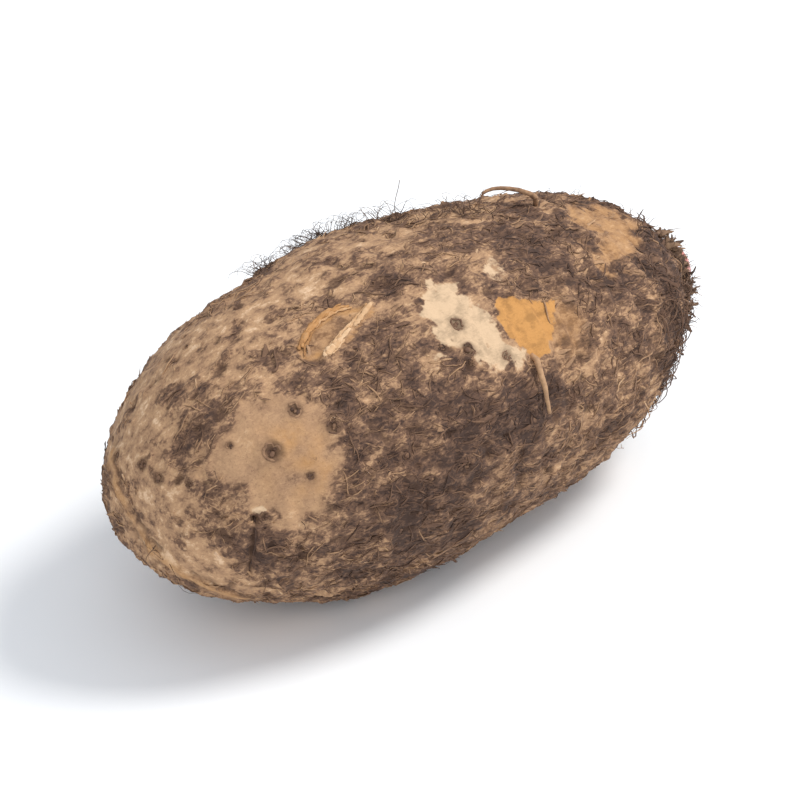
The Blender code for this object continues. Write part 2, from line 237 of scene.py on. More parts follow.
# Widths, heights and depths of the marks on the skin
CRACK_WIDTH = 0.00062
CRACK_DEPTH = 0.0013
LIP_WIDTH = 0.0010
LIP_HEIGHT = 0.0011
STREAK_WIDTH = 0.0019
STREAK_HEIGHT = 0.0004
GROOVE_OFFSET = 0.0030
GROOVE_WIDTH = 0.0009
GROOVE_DEPTH = 0.0005
PIT_DEPTH = 0.0006
CLUMP_HEIGHT = 0.0007

# Fineness of the meshes, and the seed that the random draws start from
SKIN_SIDES = 360
SKIN_STATIONS = 268
OUTLINE_STEPS = 1440
BUD_SIDES = 120
BUD_RINGS = 57
ROOTLET_STEPS = 18
HAIR_STEPS = 8
SCAR_STEPS = 16
STRIP_STEPS = 14
HUSK_STEPS = 8
SCRAP_STEPS = 7
BUD_SCRAPS = 60
PATCH_CORNERS = 14
SEED = 7

# Colours that no setting changes
GRIT_COLOUR = (0.085, 0.05, 0.038, 1.0)
# The next colour is painted shade in the grain's hollows, the pits, the crack and the groove, and also the
# root scars' own dark colour
SHADE_AND_SCAR_COLOUR = (0.078, 0.041, 0.025, 1.0)
BUD_HIGHLIGHT = (0.66, 0.27, 0.20, 1.0)
BUD_FOOT_COLOUR = (0.62, 0.39, 0.24, 1.0)
FLOOR_COLOUR = (0.90, 0.905, 0.91, 1.0)
STUDIO_COLOUR = (0.90, 0.95, 1.02, 1.0)
STUDIO_STRENGTH = 0.78
FLOOR_HALF_SIDE = 6.0
# Lights: name, place, size, power and colour, all turned to the same spot
LIGHTS = (
    ("key", (0.76, -0.46, 1.30), 0.55, 17.0, (1.0, 0.985, 0.96)),
    ("fill", (-0.9, -1.1, 0.9), 1.2, 6.5, (1.0, 0.99, 0.98)),
)
LIGHT_SPOT = (0, 0, 0.03)

# The camera: angles in degrees, distance and the height it aims at in metres, the frame's side in pixels,
# pixels to a distance of one, and how far the root's middle falls right of and below the frame's centre
CAMERA_AZIMUTH = -43.2
CAMERA_ELEVATION = 30.0
CAMERA_DISTANCE = 0.852
AIM_HEIGHT = 0.0426
FRAME_SIDE = 800
PIXELS_PER_UNIT = 3238.0
OFF_RIGHT = 10.8
OFF_DOWN = -11.6
SENSOR_WIDTH = 36.0


class TaroLook(bpy.types.PropertyGroup):
    """Sizes and colours of the root's looks."""

    bark_thickness: bpy.props.FloatProperty(
        name="Bark thickness", description="How far the dry bark stands above the worn skin",
        default=0.0006, min=0.0, max=0.002, unit="LENGTH",
    )
    grain_height: bpy.props.FloatProperty(
        name="Grain height", description="Height of the rough grain of the bark",
        default=0.00045, min=0.0, max=0.002, unit="LENGTH",
    )
    dark_fibres: bpy.props.IntProperty(
        name="Matted fibres", description="Number of fibres matted over the bark",
        default=3800, min=0, max=6000,
    )
    fine_fibres: bpy.props.IntProperty(
        name="Fine fibres", description="Number of short fine fibres over the bark",
        default=5600, min=0, max=8000,
    )
    shoot_shag: bpy.props.IntProperty(
        name="Shoot end shag", description="Number of long curly fibres round the shoot end",
        default=900, min=0, max=3000,
    )
    hairs: bpy.props.IntProperty(
        name="Stray hairs", description="Number of thin hairs that stand off the skin",
        default=360, min=0, max=3000,
    )
    flakes: bpy.props.IntProperty(
        name="Bark flakes", description="Number of torn bark flakes",
        default=300, min=0, max=2000,
    )
    rootlets: bpy.props.IntProperty(
        name="Rootlets", description="Number of coarse rootlets besides those that the photo shows",
        default=22, min=0, max=100,
    )
    scurf: bpy.props.IntProperty(
        name="Scurf", description="Number of small scraps of dry bark",
        default=2500, min=0, max=4000,
    )
    husk_strips: bpy.props.IntProperty(
        name="Husk strips", description="Number of torn sheath strips round the bud",
        default=280, min=0, max=600,
    )
    husk_fibres: bpy.props.IntProperty(
        name="Husk fibres", description="Number of frayed fibres round the bud",
        default=460, min=0, max=1200,
    )
    cream: bpy.props.FloatVectorProperty(
        name="Cream", description="Colour of the bare under-skin",
        default=(0.575, 0.405, 0.255), size=3, subtype="COLOR", min=0.0, max=1.0,
    )
    ochre: bpy.props.FloatVectorProperty(
        name="Ochre", description="Colour of the freshly rubbed patches",
        default=(0.495, 0.242, 0.075), size=3, subtype="COLOR", min=0.0, max=1.0,
    )
    bud: bpy.props.FloatVectorProperty(
        name="Bud", description="Colour of the shoot bud",
        default=(0.50, 0.150, 0.115), size=3, subtype="COLOR", min=0.0, max=1.0,
    )


def look():
    """The settings in the sidebar."""
    return bpy.context.scene.taro_look


# Shape of the body

POLARS = np.linspace(0, math.pi, OUTLINE_STEPS + 1)
OUTLINE_PIECES = np.hypot(
    HALF_LENGTH * np.sin((POLARS[1:] + POLARS[:-1]) / 2),
    HALF_HEIGHT * np.cos((POLARS[1:] + POLARS[:-1]) / 2),
) * math.pi / OUTLINE_STEPS
ARCS = np.concatenate([[0.0], np.cumsum(OUTLINE_PIECES)])
CROWN_POLAR = math.pi - math.asin((CROWN_RADIUS / HALF_HEIGHT) ** (1 / FULLNESS))
CROWN_ARC = float(np.interp(CROWN_POLAR, POLARS, ARCS))


def ring_feet():
    """Distances from the basal pole at which each ring scar starts."""
    feet = [0.0]
    while feet[-1] < CROWN_ARC + RING_PITCH:
        spread = RING_PITCH_SPREAD * noise.noise(Vector((len(feet) * 1.7, 0.4, 2.3)))
        feet.append(feet[-1] + RING_PITCH * (1 + spread))
    return np.array(feet)


RING_FEET = ring_feet()


def end_fade(arcs):
    """0 at the basal pole and at the crown, rising to 1 away from them."""
    return np.clip(np.minimum(arcs, CROWN_ARC - arcs) / END_FADE, 0, 1)


def wrapped(turns):
    """Angles brought to between minus half a turn and plus half a turn."""
    return (turns + math.pi) % math.tau - math.pi


def side_gap(spots, start, end):
    """Distance from each spot to the straight side between two corners."""
    side = end - start
    share = np.clip((spots - start) @ side / (side @ side), 0, 1)
    return np.linalg.norm(spots - start - share[..., None] * side, axis=-1)


def noise_at(points, size, shift=(0.0, 0.0, 0.0), stretch=(1.0, 1.0, 1.0)):
    """Smooth noise at each point, between about -1 and 1, with features of this size."""
    scaled = points / (size * np.array(stretch)) + np.array(shift)
    return np.array([noise.noise(place) for place in scaled.tolist()])


def smooth(value, low, high):
    """0 below low, 1 above high, and a soft step between them."""
    share = np.clip((value - low) / (high - low), 0, 1)
    return share * share * (3 - 2 * share)


def plain_points(arcs, turns):
    """Points and outward directions on the smooth body."""
    polars = np.interp(arcs, ARCS, POLARS)
    along = -np.cos(polars)
    girth = np.sin(polars).clip(0) ** FULLNESS * (1 - SHOOT_END_TAPER * along)
    points = np.stack([
        HALF_LENGTH * along,
        HALF_WIDTH * girth * np.cos(turns),
        HALF_HEIGHT * girth * np.sin(turns),
    ], axis=-1)
    outward = points / np.array([HALF_LENGTH, HALF_WIDTH, HALF_HEIGHT]) ** 2
    outward /= np.linalg.norm(outward, axis=-1, keepdims=True)
    points[..., 2] += CENTRE_HEIGHT
    return points, outward


def base_height(arcs, points):
    """Lumps, ring scars and basal scar, as in the part's source. Also gives each place in its ring."""
    fade = end_fade(arcs)
    lump = LUMP_HEIGHT * noise_at(points, LUMP_SIZE, (3.1, 0.7, 5.2))
    ring = np.clip(np.searchsorted(RING_FEET, arcs), 1, len(RING_FEET) - 1)
    foot = RING_FEET[ring - 1]
    place = np.clip((arcs - foot) / (RING_FEET[ring] - foot), 0, 1)
    rise = np.where(
        place < RING_FOOT_TO_CREST,
        place / RING_FOOT_TO_CREST,
        (1 - place) / (1 - RING_FOOT_TO_CREST),
    )
    full = RING_HEIGHT_AT_BASE + (RING_HEIGHT_AT_SHOOT - RING_HEIGHT_AT_BASE) * arcs / CROWN_ARC
    worn = np.maximum(0.1, 0.75 + 0.75 * noise_at(points, 0.024))
    off_floor = np.clip(points[..., 2] / FLOOR_FADE, 0, 1)
    share = arcs / BASAL_SCAR_ARC
    dish = -BASAL_SCAR_DEPTH * (1 - (share / 0.8) ** 2)
    rim = BASAL_RIM_HEIGHT * (1 - abs(share - 1.2) / 0.4)
    basal = np.where(share < 0.8, dish, np.where(share < 1.6, rim, 0))
    return fade * (lump + full * worn * off_floor * rise) + basal, place


def ring_of(arc, turn, half_length, half_width, slant):
    """Outline of an oval patch as a ring of places."""
    girth = HALF_WIDTH * math.sin(float(np.interp(arc, ARCS, POLARS))) ** FULLNESS
    slanted = math.radians(slant)
    ring = []
    for step in range(PATCH_CORNERS):
        swing = step * math.tau / PATCH_CORNERS
        forward, sideways = half_length * math.cos(swing), half_width * math.sin(swing)
        along = forward * math.cos(slanted) - sideways * math.sin(slanted)
        across = forward * math.sin(slanted) + sideways * math.cos(slanted)
        ring.append((arc + along, turn + math.degrees(across / girth)))
    return tuple(ring)


def girth_at(arcs, least=0.05):
    """Half-width of the body at each arc, never quite 0."""
    return HALF_WIDTH * np.sin(np.interp(arcs, ARCS, POLARS)).clip(least) ** FULLNESS


def outline_share(outlines, arcs, turns, wobble, soft):
    """1 inside the outlines, 0 outside them. Wobble, in metres, makes the edge ragged."""
    best = np.full(arcs.shape, -1.0)
    for outline in outlines:
        ring = np.array(outline)
        middle = math.radians(ring[:, 1].mean())
        corners = np.stack([ring[:, 0], (np.radians(ring[:, 1]) - middle) * girth_at(ring[:, 0])], axis=1)
        aside = wrapped(turns - middle)
        near = (arcs > ring[:, 0].min() - 0.006) & (arcs < ring[:, 0].max() + 0.006)
        near &= np.abs(aside) < np.abs(np.radians(ring[:, 1]) - middle).max() + 0.3
        if not near.any():
            continue
        spots = np.stack([arcs[near], aside[near] * girth_at(arcs[near])], axis=1)
        gap = np.full(len(spots), 9.0)
        inside = np.zeros(len(spots), dtype=bool)
        for start, end in zip(corners, np.roll(corners, -1, axis=0)):
            side = end - start
            gap = np.minimum(gap, side_gap(spots, start, end))
            spans = (start[1] > spots[:, 1]) != (end[1] > spots[:, 1])
            slope = (spots[:, 1] - start[1]) / (side[1] if side[1] else 1e-12)
            inside ^= spans & (spots[:, 0] < start[0] + slope * side[0])
        best[near] = np.maximum(best[near], np.where(inside, gap, -gap))
    return smooth(best + wobble, -soft, soft)


def line_gap(points, places):
    """Distance in metres from each point to a line drawn through places on the skin."""
    arcs, turns = np.array(places).T
    corners = plain_points(arcs, np.radians(turns))[0]
    gap = np.full(points.shape[:-1], 9.0)
    for start, end in zip(corners, corners[1:]):
        gap = np.minimum(gap, side_gap(points, start, end))
    return gap


def soft_oval(arcs, turns, arc, turn, half_length, half_width):
    """1 at the oval's middle, falling softly to 0 round it."""
    aside = wrapped(turns - math.radians(turn)) * girth_at(arcs)
    return np.exp(-((arcs - arc) / half_length) ** 2 - (aside / half_width) ** 2)


def region_tone(arcs, turns):
    """How much paler, or darker, the skin is in each broad region."""
    total = SHOOT_END_TONE * smooth(arcs, 0.158, 0.190)
    for *oval, amount in TONE_REGIONS:
        total = total + amount * soft_oval(arcs, turns, *oval)
    return total


def root_scars():
    """Arc, turn and radius of each root scar: those the photo shows, then seeded ones."""
    draw = np.random.default_rng(SEED)
    scars = [(arc, math.radians(turn), radius) for arc, turn, radius in SEEN_ROOT_SCARS]
    while len(scars) < ROOT_SCAR_COUNT:
        arc, turn = CROWN_ARC * draw.uniform(0.05, 0.9), draw.uniform(-math.pi, math.pi)
        radius = draw.uniform(0.0006, 0.0017)
        in_patches = 0.086 < arc < 0.138 and 1.8 < turn < 2.75
        if not in_patches:
            scars.append((arc, turn, radius))
    return scars


ROOT_SCARS = root_scars()


def scar_fields(points):
    """Height of the root scars' rims and eyes, and how dark the eyes are."""
    height = np.zeros(points.shape[:-1])
    eye = np.zeros(points.shape[:-1])
    for arc, turn, radius in ROOT_SCARS:
        centre = plain_points(np.array([arc]), np.array([turn]))[0][0]
        away = np.linalg.norm(points - centre, axis=-1) / radius
        near = away < 3
        if not near.any():
            continue
        broken = np.zeros(away.shape)
        broken[near] = noise_at(points[near], radius * 0.9, (arc * 900, 0.0, 0.0))
        away = away * (1 + 0.35 * broken)
        height += radius * (0.26 * np.exp(-((away - 1.3) / 0.35) ** 2) - 0.42 * np.exp(-(away / 0.60) ** 2))
        eye = np.maximum(eye, np.exp(-(away / 0.55) ** 4))
        ring = np.clip((0.20 if radius < 0.0013 else 0.55) + 1.5 * broken, 0, 1)
        eye = np.maximum(eye, ring * np.exp(-((away - 0.95) / 0.34) ** 2))
        eye = np.maximum(eye, (0.95 + 0.4 * broken) * np.exp(-(away / 1.10) ** 4))
    return height, eye


ALL_WORN = WORN_OUTLINES + tuple(ring_of(*patch) for patch in HIDDEN_WORN)
ALL_CREAM = CREAM_OUTLINES + tuple(ring_of(*patch) for patch in HIDDEN_CREAM)
ALL_OCHRE = OCHRE_OUTLINES + tuple(ring_of(*patch) for patch in HIDDEN_OCHRE)


def ring_wander(arcs, turns):
    """How far the ring scars stray along the root."""
    fade = end_fade(arcs)
    round_places = np.stack([arcs / 0.05, np.cos(turns), np.sin(turns)], axis=-1)
    return RING_WANDER * fade * noise_at(round_places, 1.0)


def before_wander(arcs, turns):
    """Arcs that the wander brings to the given ones."""
    start = arcs
    for _ in range(3):
        start = arcs - ring_wander(start, turns)
    return np.clip(start, END_GAP, CROWN_ARC - END_GAP)


def skin_shape(arcs, turns):
    """Skin points, outward directions and what shows there, for arrays of places."""
    fade = end_fade(arcs)
    wander = ring_wander(arcs, turns)
    points, outward = plain_points(arcs + wander, turns)
    lift, ring_place = base_height(arcs, points)
    arcs = arcs + wander

    edge = noise_at(points, EDGE_SIZE)
    ragged = noise_at(points, RAGGED_SIZE)
    wobble = EDGE_REACH * edge + RAGGED_REACH * ragged
    cream = outline_share(ALL_CREAM, arcs, turns, 1.25 * wobble, CREAM_EDGE)
    fleck = outline_share(FLECK_OUTLINES, arcs, turns, 1.2 * wobble, FLECK_EDGE)
    cream = np.maximum(cream, 0.55 * fleck)
    scrap = outline_share(SCRAP_OUTLINES, arcs, turns, 0.2 * wobble, SCRAP_EDGE)
    ochre = outline_share(ALL_OCHRE, arcs, turns, 0.7 * wobble, OCHRE_EDGE) * (1 - cream)
    # Brown fade and painted shadow over the ochre patch's lower right: less ochre, a mid-brown tone, less
    # bark and more warmth
    ochre_brown_and_shadow = soft_oval(arcs, turns, *OCHRE_BROWN_AND_SHADOW)
    ochre = ochre * (1 - 0.70 * ochre_brown_and_shadow)
    strip = outline_share(STRIP_OUTLINES, arcs, turns, 0.4 * wobble, STRIP_EDGE)
    rubbed = outline_share(RUBBED_OUTLINES, arcs, turns, 2.0 * wobble, RUBBED_EDGE)
    clean = outline_share(ALL_WORN, arcs, turns, 1.2 * wobble, WORN_EDGE)

    broad = noise_at(points, BROAD_SIZE, (1.3, 8.2, 0.4), (1.5, 1, 1))
    middling = noise_at(points, MIDDLING_SIZE, (4.0, 0.0, 2.0), (1.6, 1, 1))
    small = noise_at(points, SMALL_SIZE, (0.0, 3.0, 7.0), (1.7, 1, 1))
    tone = 0.45 + region_tone(arcs, turns) + 0.26 * broad + 0.34 * middling + 0.30 * small + 0.10 * ragged
    tone += clean * (0.73 + 0.22 * middling + 0.13 * edge + 0.16 * broad - tone)
    tone += rubbed * 0.8 * (0.70 + 0.25 * middling - tone)
    within = outline_share(STRIP_OUTLINES, arcs, turns, 0.4 * wobble - STRIP_RIM, STRIP_EDGE)
    tone += strip * (0.72 - 0.26 * within + 0.35 * small - tone)
    halo = outline_share(ALL_CREAM + ALL_OCHRE, arcs, turns, 2.2 * wobble + 0.0010, HALO_EDGE)
    tone += halo * 0.6 * (0.62 - tone)
    tone += 0.5 * cream * (0.9 - tone)
    cream = cream * (1 - 0.45 * smooth(small + 0.5 * ragged, 0.16, 0.50))
    cream = np.maximum(cream, scrap)
    tone += 0.7 * ochre_brown_and_shadow * (1 - ochre) * (0.50 + 0.25 * small - tone)
    bark = (1 - smooth(tone, 0.42, 0.72)) * (1 - cream) * (1 - ochre) * (1 - 0.6 * strip)
    bark = bark * (1 - 0.85 * ochre_brown_and_shadow) * (1 - 0.75 * rubbed)

    grain = noise_at(points, GRAIN_SIZE, (0.0, 5.0, 1.0), (2.0, 1, 1))
    scar, eye = scar_fields(points)
    crack = np.exp(-((line_gap(points, CRACK) + 0.0004 * grain) / CRACK_WIDTH) ** 2)
    # The strip's lower edge is a raised pale lip
    ridge = np.exp(-((line_gap(points, STRIP_LIP) + 0.0003 * grain) / LIP_WIDTH) ** 2)
    basal_gap = line_gap(points, BASAL_STREAK) + 0.0007 * edge
    basal = np.exp(-(basal_gap / STREAK_WIDTH) ** 2)
    groove = np.exp(-((basal_gap - GROOVE_OFFSET) / GROOVE_WIDTH) ** 2)
    groove = groove * smooth(edge + 0.5 * ragged, -0.3, 0.3)
    # Pits in the bark, dug in and darkened with painted shade
    pits = smooth(-noise_at(points, PIT_SIZE, (2.0, 6.0, 9.0), (1.4, 1, 1)), 0.34, 0.52)
    pits = pits * smooth(bark, 0.3, 0.8)
    bark = bark * (1 - 0.9 * basal)
    rough = look().grain_height * (0.22 + 0.78 * bark)
    lift = (
        lift
        + look().bark_thickness * bark * (0.8 + 0.6 * grain)
        + rough * (0.9 * grain + 0.6 * ragged)
        + CLUMP_HEIGHT * bark * middling - PIT_DEPTH * pits
        + scar * fade + LIP_HEIGHT * ridge - CRACK_DEPTH * crack
        + STREAK_HEIGHT * basal - GROOVE_DEPTH * groove
    )
    # How dark each place is: painted shade in the grain's hollows, the pits, the crack and the groove, and
    # the own dark colour of the root scars' eyes and the ring scar lines
    ring_line = smooth(ring_place, 0.80, 0.97) * (1 - smooth(ring_place, 0.97, 1.0))
    hollow = smooth(-(grain + 0.5 * ragged), 0.20, 0.75) * (0.15 + 0.85 * bark)
    dark = np.clip(np.maximum.reduce([
        0.50 * hollow, (0.98 - 0.05 * cream) * eye, 0.80 * pits, 1.1 * crack, 0.80 * groove,
        0.35 * ring_line * bark,
    ]), 0, 1)
    bark = bark * (1 - np.clip(3 * crack, 0, 1))
    points = points + outward * lift[..., None]
    tone = np.where(tone > 0.62, 0.62 + 0.5 * (tone - 0.62), tone)
    tone += (1 - clean) * (1 - bark) * (0.16 * small + 0.14 * grain)
    tone = np.clip(np.maximum(tone, 0.95 * np.maximum(ridge, 0.9 * basal)), 0.02, 1.0)
    warm = (0.75 - 0.5 * within) * strip * (1 - ridge) + 0.45 * rubbed + 0.60 * basal + 0.45 * ochre_brown_and_shadow
    warm += (0.34 + 0.8 * middling) * clean * soft_oval(arcs, turns, *WORN_STAIN)
    fields = {
        "tone": tone, "bark": bark, "cream": cream, "ochre": ochre, "warm": np.clip(warm, 0, 1),
        "dark": dark, "clean": clean,
    }
    return points, outward, fields


# Meshes

def piece_from(bm, name, shade=True):
    """Makes an object from a bmesh, with its faces turned outwards."""
    bmesh.ops.recalc_face_normals(bm, faces=bm.faces)
    mesh = bpy.data.meshes.new(name)
    bm.to_mesh(mesh)
    bm.free()
    piece = bpy.data.objects.new(name, mesh)
    bpy.context.scene.collection.objects.link(piece)
    if shade:
        mesh.shade_smooth()
    return piece


def spun(outline, sides):
    """Closed bmesh turned about X from (x, radius) pairs that start and end on the axis."""
    bm = bmesh.new()
    verts = [bm.verts.new((x, radius, 0.0)) for x, radius in outline]
    edges = [bm.edges.new(pair) for pair in zip(verts, verts[1:])]
    bmesh.ops.spin(
        bm, geom=verts + edges, cent=(0, 0, 0), axis=(1, 0, 0),
        angle=math.tau, steps=sides, use_merge=True,
    )
    bmesh.ops.remove_doubles(bm, verts=bm.verts, dist=1e-6)
    return bm


def strands(paths, radii, sides, name, tones, flat=1.0):
    """Tapering strands along paths, all grown together: one small circle a strand, extruded step by step.

    paths is (strands, steps, 3), radii is (strands, steps) and tones is one value a strand.
    """
    count, steps, _ = paths.shape
    along = np.gradient(paths, axis=1)
    along /= np.linalg.norm(along, axis=2, keepdims=True) + 1e-12
    up = paths.copy()
    up[..., 0] = 0
    up[..., 2] -= CENTRE_HEIGHT
    across = np.cross(along, up)
    across /= np.linalg.norm(across, axis=2, keepdims=True) + 1e-12
    over = np.cross(across, along)
    swings = np.arange(sides) * math.tau / sides
    ring = (
        across[:, :, None] * np.cos(swings)[None, None, :, None]
        + flat * over[:, :, None] * np.sin(swings)[None, None, :, None]
    ) * radii[:, :, None, None] + paths[:, :, None]
    ring[..., 2] = np.maximum(ring[..., 2], 0.00005)
    bm = bmesh.new()
    tone = bm.verts.layers.float.new("tone")
    corner_of = bm.verts.layers.int.new("corner")
    strand_of = bm.faces.layers.int.new("strand")
    faces = []
    for strand in range(count):
        verts = [bm.verts.new(place) for place in ring[strand, 0].tolist()]
        for corner, vert in enumerate(verts):
            vert[tone] = tones[strand]
            vert[corner_of] = corner
        face = bm.faces.new(verts)
        face[strand_of] = strand
        faces.append(face)
    for step in range(1, steps):
        faces = bmesh.ops.extrude_discrete_faces(bm, faces=faces)["faces"]
        places = ring[:, step].tolist()
        for face in faces:
            corners = places[face[strand_of]]
            for vert in face.verts:
                vert.co = corners[vert[corner_of]]
    bmesh.ops.holes_fill(bm, edges=[edge for edge in bm.edges if edge.is_boundary], sides=sides)
    bm.verts.layers.int.remove(corner_of)
    bm.faces.layers.int.remove(strand_of)
    return piece_from(bm, name)


def surface_paths(draw, count, steps, arcs, turns, lengths, headings, curl, heights):
    """Paths that wander over the skin from their starts, each at its own height above it."""
    shares = np.linspace(0, 1, steps)
    heading = headings[:, None] + np.cumsum(draw.normal(0, curl, (count, steps)), axis=1)
    stride = (lengths / (steps - 1))[:, None]
    run = np.cumsum(np.cos(heading) * stride, axis=1)
    sweep = np.cumsum(np.sin(heading) * stride, axis=1)
    path_arcs = np.clip(arcs[:, None] + run, 0.001, CROWN_ARC - END_GAP)
    path_turns = turns[:, None] + sweep / girth_at(path_arcs, 0.15)
    flat_arcs, flat_turns = path_arcs.ravel(), path_turns.ravel()
    points, outward, fields = skin_shape(flat_arcs, flat_turns)
    points = points.reshape(count, steps, 3)
    outward = outward.reshape(count, steps, 3)
    points = points + outward * heights(shares)[..., None]
    points[..., 2] = np.maximum(points[..., 2], FLOOR_GAP)
    return points, {key: value.reshape(count, steps) for key, value in fields.items()}


def even_places(draw, count, low=0.01, high=0.99):
    """Random places spread evenly over the skin's area."""
    arcs = draw.uniform(low, high, count * 3) * CROWN_ARC
    keep = draw.uniform(0, 1, count * 3) < np.sin(np.interp(arcs, ARCS, POLARS)).clip(0) ** FULLNESS
    arcs = arcs[keep][:count]
    return arcs, draw.uniform(-math.pi, math.pi, len(arcs))


# Materials

def shader_tree(name, roughness):
    """A new material with its node tree and its main shader."""
    material = bpy.data.materials.new(name)
    material.use_nodes = True
    tree = material.node_tree
    shader = tree.nodes["Principled BSDF"]
    shader.inputs["Roughness"].default_value = roughness
    shader.inputs["Specular IOR Level"].default_value = 0.25
    return material, tree, shader


def add_node(tree, kind, settings=None, **inputs):
    """Adds a node, sets its properties, and links or sets each named input."""
    node = tree.nodes.new(kind)
    for key, value in (settings or {}).items():
        setattr(node, key, value)
    for key, value in inputs.items():
        socket = node.inputs[int(key[1:])] if key[0] == "i" and key[1:].isdigit() else node.inputs[key]
        if isinstance(value, bpy.types.NodeSocket):
            tree.links.new(value, socket)
        else:
            socket.default_value = value
    return node


def noise_node(tree, coords, scale, detail=3.0, roughness=0.6, distortion=0.0):
    """Noise with this many features to a metre."""
    return add_node(
        tree, "ShaderNodeTexNoise", Vector=coords, Scale=scale, Detail=detail,
        Roughness=roughness, Distortion=distortion,
    ).outputs["Fac"]


def stepped(tree, value, low, high, to_low=0.0, to_high=1.0):
    """Smooth step of a value from one range to another."""
    return add_node(
        tree, "ShaderNodeMapRange", {"interpolation_type": "SMOOTHSTEP"},
        i0=value, i1=low, i2=high, i3=to_low, i4=to_high,
    ).outputs[0]


def math_node(tree, operation, first, second):
    """A sum, difference or product of two values."""
    return add_node(tree, "ShaderNodeMath", {"operation": operation}, i0=first, i1=second).outputs[0]


def swing_node(tree, texture, amount):
    """The texture's swing about its middle, times an amount."""
    return math_node(tree, "MULTIPLY", math_node(tree, "SUBTRACT", texture, 0.5), amount)


def mixed(tree, factor, first, second):
    """The first colour, turning to the second as the factor goes from 0 to 1."""
    node = tree.nodes.new("ShaderNodeMix")
    node.data_type = "RGBA"
    for socket, value in ((node.inputs[0], factor), (node.inputs[6], first), (node.inputs[7], second)):
        if isinstance(value, bpy.types.NodeSocket):
            tree.links.new(value, socket)
        else:
            socket.default_value = value
    return node.outputs[2]


def shade(colour, factor):
    """The colour made lighter or darker, with its alpha."""
    return (*(min(1.0, part * factor) for part in colour), 1.0)


def ramp(tree, value, stops):
    """Colour by value, from (position, colour) pairs."""
    node = tree.nodes.new("ShaderNodeValToRGB")
    tree.links.new(value, node.inputs[0])
    elements = node.color_ramp.elements
    while len(elements) < len(stops):
        elements.new(0.5)
    for element, (position, colour) in zip(elements, stops):
        element.position = position
        element.color = colour
    return node.outputs[0]


def attribute(tree, name):
    """The mesh's own value of this name."""
    return add_node(tree, "ShaderNodeAttribute", {"attribute_name": name}).outputs["Fac"]


# Colours from the darkest matted bark to the palest worn skin, by tone
SKIN_TONES = (
    (0.0, (0.058, 0.033, 0.024, 1)), (0.25, (0.135, 0.074, 0.047, 1)), (0.42, (0.200, 0.113, 0.067, 1)),
    (0.57, (0.335, 0.196, 0.111, 1)), (0.80, (0.470, 0.284, 0.156, 1)), (1.0, (0.68, 0.465, 0.295, 1)),
)
# The same for the stray hairs, for the husk and the bud's dry tip, and for the torn strip
DARK_TONES = (
    (0.0, (0.040, 0.026, 0.021, 1)), (0.5, (0.095, 0.058, 0.042, 1)), (1.0, (0.26, 0.165, 0.105, 1)),
)
HUSK_TONES = (
    (0.0, (0.055, 0.034, 0.025, 1)), (0.5, (0.150, 0.088, 0.057, 1)), (1.0, (0.36, 0.225, 0.135, 1)),
)
STRIP_TONES = (
    (0.0, (0.16, 0.075, 0.036, 1)), (0.5, (0.45, 0.225, 0.085, 1)), (1.0, (0.66, 0.44, 0.26, 1)),
)


def skin_material():
    """Dark matted bark to pale worn skin by tone, with cream and ochre patches, painted shade in the hollows
    and dark scar eyes.
    """
    material, tree, shader = shader_tree("taro skin", 0.82)
    coords = tree.nodes.new("ShaderNodeTexCoord").outputs["Object"]
    drawn = add_node(tree, "ShaderNodeMapping", Vector=coords, Scale=(0.40, 1.0, 1.0)).outputs[0]
    fine = noise_node(tree, coords, 850, 4, 0.62)
    fibre = noise_node(tree, drawn, 1150, 4, 0.60, 0.8)
    blotch = noise_node(tree, coords, 240, 3, 0.6)
    grit = noise_node(tree, coords, 2300, 2, 0.5)

    bark, clean = attribute(tree, "bark"), attribute(tree, "clean")
    calm = stepped(tree, clean, 0.0, 1.0, 1.0, 0.55)
    light = attribute(tree, "tone")
    for texture, low, high in ((fibre, 0.75, 1.50), (fine, 0.50, 0.90), (blotch, 0.65, 0.50)):
        amount = math_node(tree, "MULTIPLY", stepped(tree, bark, 0.0, 0.8, low, high), calm)
        light = math_node(tree, "ADD", light, swing_node(tree, texture, amount))
    colour = ramp(tree, light, SKIN_TONES)
    speck = stepped(tree, grit, 0.61, 0.70, 0.0, 0.30)
    colour = mixed(tree, speck, colour, GRIT_COLOUR)
    patchy = stepped(tree, blotch, 0.35, 0.60, 0.45, 1.0)
    warmth = math_node(tree, "MULTIPLY", attribute(tree, "warm"), patchy)
    colour = mixed(tree, warmth, colour, shade(look().ochre, 0.86))
    ragged = math_node(tree, "SUBTRACT", fine, 0.5)
    ragged = math_node(tree, "ADD", ragged, swing_node(tree, blotch, 0.9))
    mottle = math_node(
        tree, "ADD", math_node(tree, "MULTIPLY", blotch, 0.7), math_node(tree, "MULTIPLY", fibre, 0.3))
    for name, paint in (("cream", look().cream), ("ochre", look().ochre)):
        edge = math_node(tree, "ADD", attribute(tree, name), ragged)
        tinted = mixed(tree, stepped(tree, mottle, 0.36, 0.56), shade(paint, 0.74), shade(paint, 1.06))
        colour = mixed(tree, stepped(tree, edge, 0.28, 0.68), colour, tinted)
    # Painted shade in the hollows, pits, crack and groove, and the scars' own dark colour, mixed in as one
    # colour
    hollow = math_node(tree, "MULTIPLY", attribute(tree, "dark"), 0.85)
    colour = mixed(tree, hollow, colour, SHADE_AND_SCAR_COLOUR)
    tree.links.new(colour, shader.inputs["Base Color"])

    height = math_node(tree, "MULTIPLY", math_node(tree, "ADD", fibre, fine), 0.6)
    bump = add_node(tree, "ShaderNodeBump", Strength=0.70, Distance=0.0005, Height=height)
    tree.links.new(bump.outputs[0], shader.inputs["Normal"])
    return material


def strand_material(name, stops, roughness=0.85):
    """Colour by the strand's own tone, with a little variation along it."""
    material, tree, shader = shader_tree(name, roughness)
    coords = tree.nodes.new("ShaderNodeTexCoord").outputs["Object"]
    fine = noise_node(tree, coords, 700, 2)
    tone = math_node(tree, "ADD", attribute(tree, "tone"), swing_node(tree, fine, 0.6))
    tree.links.new(ramp(tree, tone, stops), shader.inputs["Base Color"])
    return material


